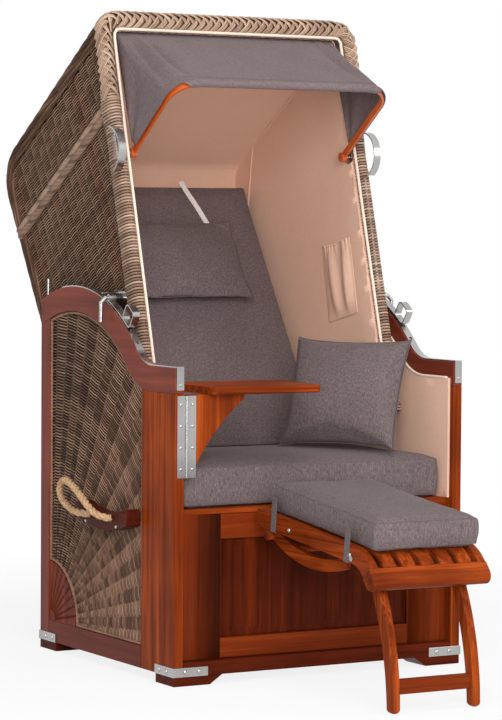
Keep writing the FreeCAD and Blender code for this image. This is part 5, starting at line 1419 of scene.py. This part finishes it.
def make_tapes(cushion):
    """White tapes from the top of the back cushion to the head pillow, laid on the cushion."""
    tree = tree_of(cushion)
    strands = Strands()
    half, thick = 0.0075, 0.0005
    points = [vertex.co for vertex in frame["nodes"]["pillow_straps"].data.vertices]
    for side, _ in SIDES:
        own = sorted((point for point in points if side * point.x > 0.0),
                     key=lambda point: point.z)
        low, high = (sum(part, Vector()) / 4 for part in (own[:4], own[-4:]))
        run = []
        for k in range(25):
            at = low.lerp(high, k / 24)
            hit = tree.ray_cast(at - HOOD_REAR * 0.05, HOOD_REAR, 0.12)[0]
            run.append((hit or at) - HOOD_REAR * 0.0022)
        for _ in range(12):
            between = [(before + after) / 2 for before, after in zip(run, run[2:])]
            run = [run[0], *between, run[-1]]
        side_way = (high - low).normalized().cross(HOOD_REAR).normalized()
        strands.sweep(run, side_way, -HOOD_REAR,
                      [(-half, -thick), (half, -thick), (half, thick), (-half, thick)], 0.5)
    tapes = rounded(strands.piece("pillow_tapes", white_tape), False)
    settle(tapes, "hood", "webbing", "pillow_straps")


def make_straps():
    """Webbing round the footrest's cushion."""
    straps = copy_of("footrest_straps", "footrest_straps_woven")
    straps.data.materials.append(webbing)
    settle(straps, "footrest", "webbing", "footrest_straps")


# Wood and steel
SLOT_FINISHES = {
    "mahogany": wood_up, "wicker": wicker, "braid": pale_cane, "lining_cloth": lining_cloth,
    "cushion_cloth": cushion_cloth, "webbing": webbing, "polished_steel": polished_steel,
    "orange_paint": orange_paint, "rope_fibre": rope_fibre}
GRAIN = {node: wood for wood, nodes in (
    (front_across, ("plinth", "feet", "rear_wall")),
    (frame_across, ("front_frame",)),
    (field_wood, ("front_field",)),
    (wood_across, ("seat_deck", "table_top", "footrest_front_bar", "footrest_cross_bars")),
    (rail_along, ("side_rails",)),
    (arm_along, ("arm_rail_left", "arm_rail_right")),
    (arm_up, ("rear_posts",)),
    (shell_wood, ("shell_corners",)),
    (dark_along, ("handle_blocks",)),
    (wood_along, ("footrest_rails", "footrest_slats", "footrest_rear_legs", "seat_bearers")),
) for node in nodes}
EASED = {
    "base": ("arm_rail_left", "arm_rail_right", "front_posts", "rear_posts", "side_rails", "plinth",
             "front_frame", "front_field", "feet", "handle_blocks", "corner_irons"),
    "table": ("table_top", "table_bracket"),
    "footrest": ("footrest_front_bar", "footrest_cross_bars", "footrest_rails", "footrest_slats"),
    "front_legs": ("footrest_front_legs",)}
EASE, IRON_EASE = 0.0016, 0.0006
LEG_WIDTH = 0.042
HEAD_RINGS = ((1.0, 0.0), (1.0, 0.16), (0.78, 0.42), (0.38, 0.52), (0.22, 0.30))
HEAD_SIDES = 10
SMALL_SCREW, IRON_SCREW, STRIP_SCREW, RAIL_SCREW = 0.0040, 0.0064, 0.0034, 0.0052

node_slots = {row["node"]: row["material_slot"] for row in frame["record"]["subparts"]}


def finish_of(node):
    return GRAIN.get(node) or SLOT_FINISHES[node_slots[node]]


def second_wood(piece, wood, where):
    """Give another wood to the faces whose middle lies where it should be."""
    piece.data.materials.append(wood)
    for face in piece.data.polygons:
        face.material_index = int(where(face.center.x))


def ease_edges(node, body):
    """Stand-in for a node with its sharp edges eased."""
    piece = copy_of(node, node + "_eased")
    with reshaped(piece) as shape:
        bmesh.ops.dissolve_limit(shape, angle_limit=math.radians(0.8), verts=shape.verts,
                                 edges=shape.edges)
        if node == "footrest_front_legs":
            floor = min(vertex.co.z for vertex in shape.verts)
            toes = [edge for edge in shape.edges
                    if max(vertex.co.z for vertex in edge.verts) < floor + 0.006]
            bmesh.ops.bevel(shape, geom=toes, offset=0.011, offset_type="OFFSET", segments=5,
                            profile=0.5, affect="EDGES", clamp_overlap=True)
    modified(piece, "BEVEL", width=IRON_EASE if node == "corner_irons" else EASE, segments=2,
             limit_method="ANGLE", angle_limit=math.radians(40.0), use_clamp_overlap=True)
    smoothed(piece, 20.0).data.materials.append(finish_of(node))
    if node == "front_frame":
        low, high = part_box("front_field")
        second_wood(piece, frame_up, lambda x: not low.x < x < high.x)
    if node == "footrest_front_legs":
        low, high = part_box(node)
        second_wood(piece, frame_across, lambda x: low.x + LEG_WIDTH < x < high.x - LEG_WIDTH)
    settle(piece, body, node_slots[node], node)


def screw_head(points, faces, place, out, radius):
    """A low round head with a dimple."""
    side = out.orthogonal().normalized()
    up = out.cross(side)
    first = len(points)
    for share, rise in HEAD_RINGS:
        for x, y in oval(1.0, 1.0, HEAD_SIDES):
            points.append(place + (side * x + up * y) * radius * share + out * radius * rise)
    faces.extend(ring_faces(first, len(HEAD_RINGS), HEAD_SIDES))
    last = len(points) - HEAD_SIDES
    faces.append(tuple(range(last, last + HEAD_SIDES)))
    faces.append(tuple(range(first + HEAD_SIDES - 1, first - 1, -1)))


def make_screws(name, body, rows):
    """Screw heads on the faces of nodes; each row has a node, a spot, a way out and a radius."""
    points, faces = [], []
    for node, place, out, radius in rows:
        hit = node_tree(node).ray_cast(place + out * 0.05, -out, 0.2)[0]
        if hit is not None:
            screw_head(points, faces, hit - out * 0.0002, out, radius)
    screws = faced_out(new_piece(name, points, faces, polished_steel))
    settle(smoothed(screws, 40.0), body, "polished_steel")


def make_all_screws():
    front = Vector((0, -1, 0))
    base, table, rest = [], [], []
    for z in (0.505, 0.555, 0.605, 0.655):
        base.append(("table_hinge_post_leaf", spot(-0.3825, 0.0, z), front, SMALL_SCREW))
        table.append(("table_hinge_swing_leaf", spot(-0.3515, 0.0, z), front, SMALL_SCREW))
    for side, _ in SIDES:
        out = ACROSS * side
        for x in (0.330, 0.366):
            base.append(("corner_irons", spot(side * x, 0.0, 0.033), front, IRON_SCREW))
            base.append(("corner_irons", spot(side * x, 0.712, 0.033), -front, IRON_SCREW))
        for y in (0.034, 0.070, 0.642, 0.678):
            base.append(("corner_irons", spot(side * 0.397, y, 0.033), out, IRON_SCREW))
        base.append(("lock_strips", spot(side * 0.3845, 0.0, 0.700), front, STRIP_SCREW))
        for y in (0.232, 0.392):
            base.append(("handle_blocks", spot(side * 0.43, y, 0.352), out, SMALL_SCREW))
        for y in (-0.155, -0.42):
            place = spot(-0.030 + side * 0.155, y, 0.385 + 0.11 * (y + 0.018))
            rest.append(("footrest_rails", place, out, RAIL_SCREW))
    make_screws("base_screws", "base", base)
    make_screws("table_screws", "table", table)
    make_screws("footrest_screws", "footrest", rest)


def dress_nodes():
    """Give every CAD node the finish of its wood or slot."""
    for name, piece in frame["nodes"].items():
        piece.data.materials.clear()
        piece.data.materials.append(finish_of(name))


set_camera()
set_studio()
make_rope(1, "right")
make_rope(-1, "left")
make_base_weave()
make_hood_weave()
make_braid()
make_wraps()
make_mouth_piping()
make_awning_cloth()
make_hood_lining()
make_wall_linings()
make_pocket()
make_straps()
make_cushions()
for body, nodes in EASED.items():
    for node in nodes:
        ease_edges(node, body)
make_all_screws()
dress_nodes()
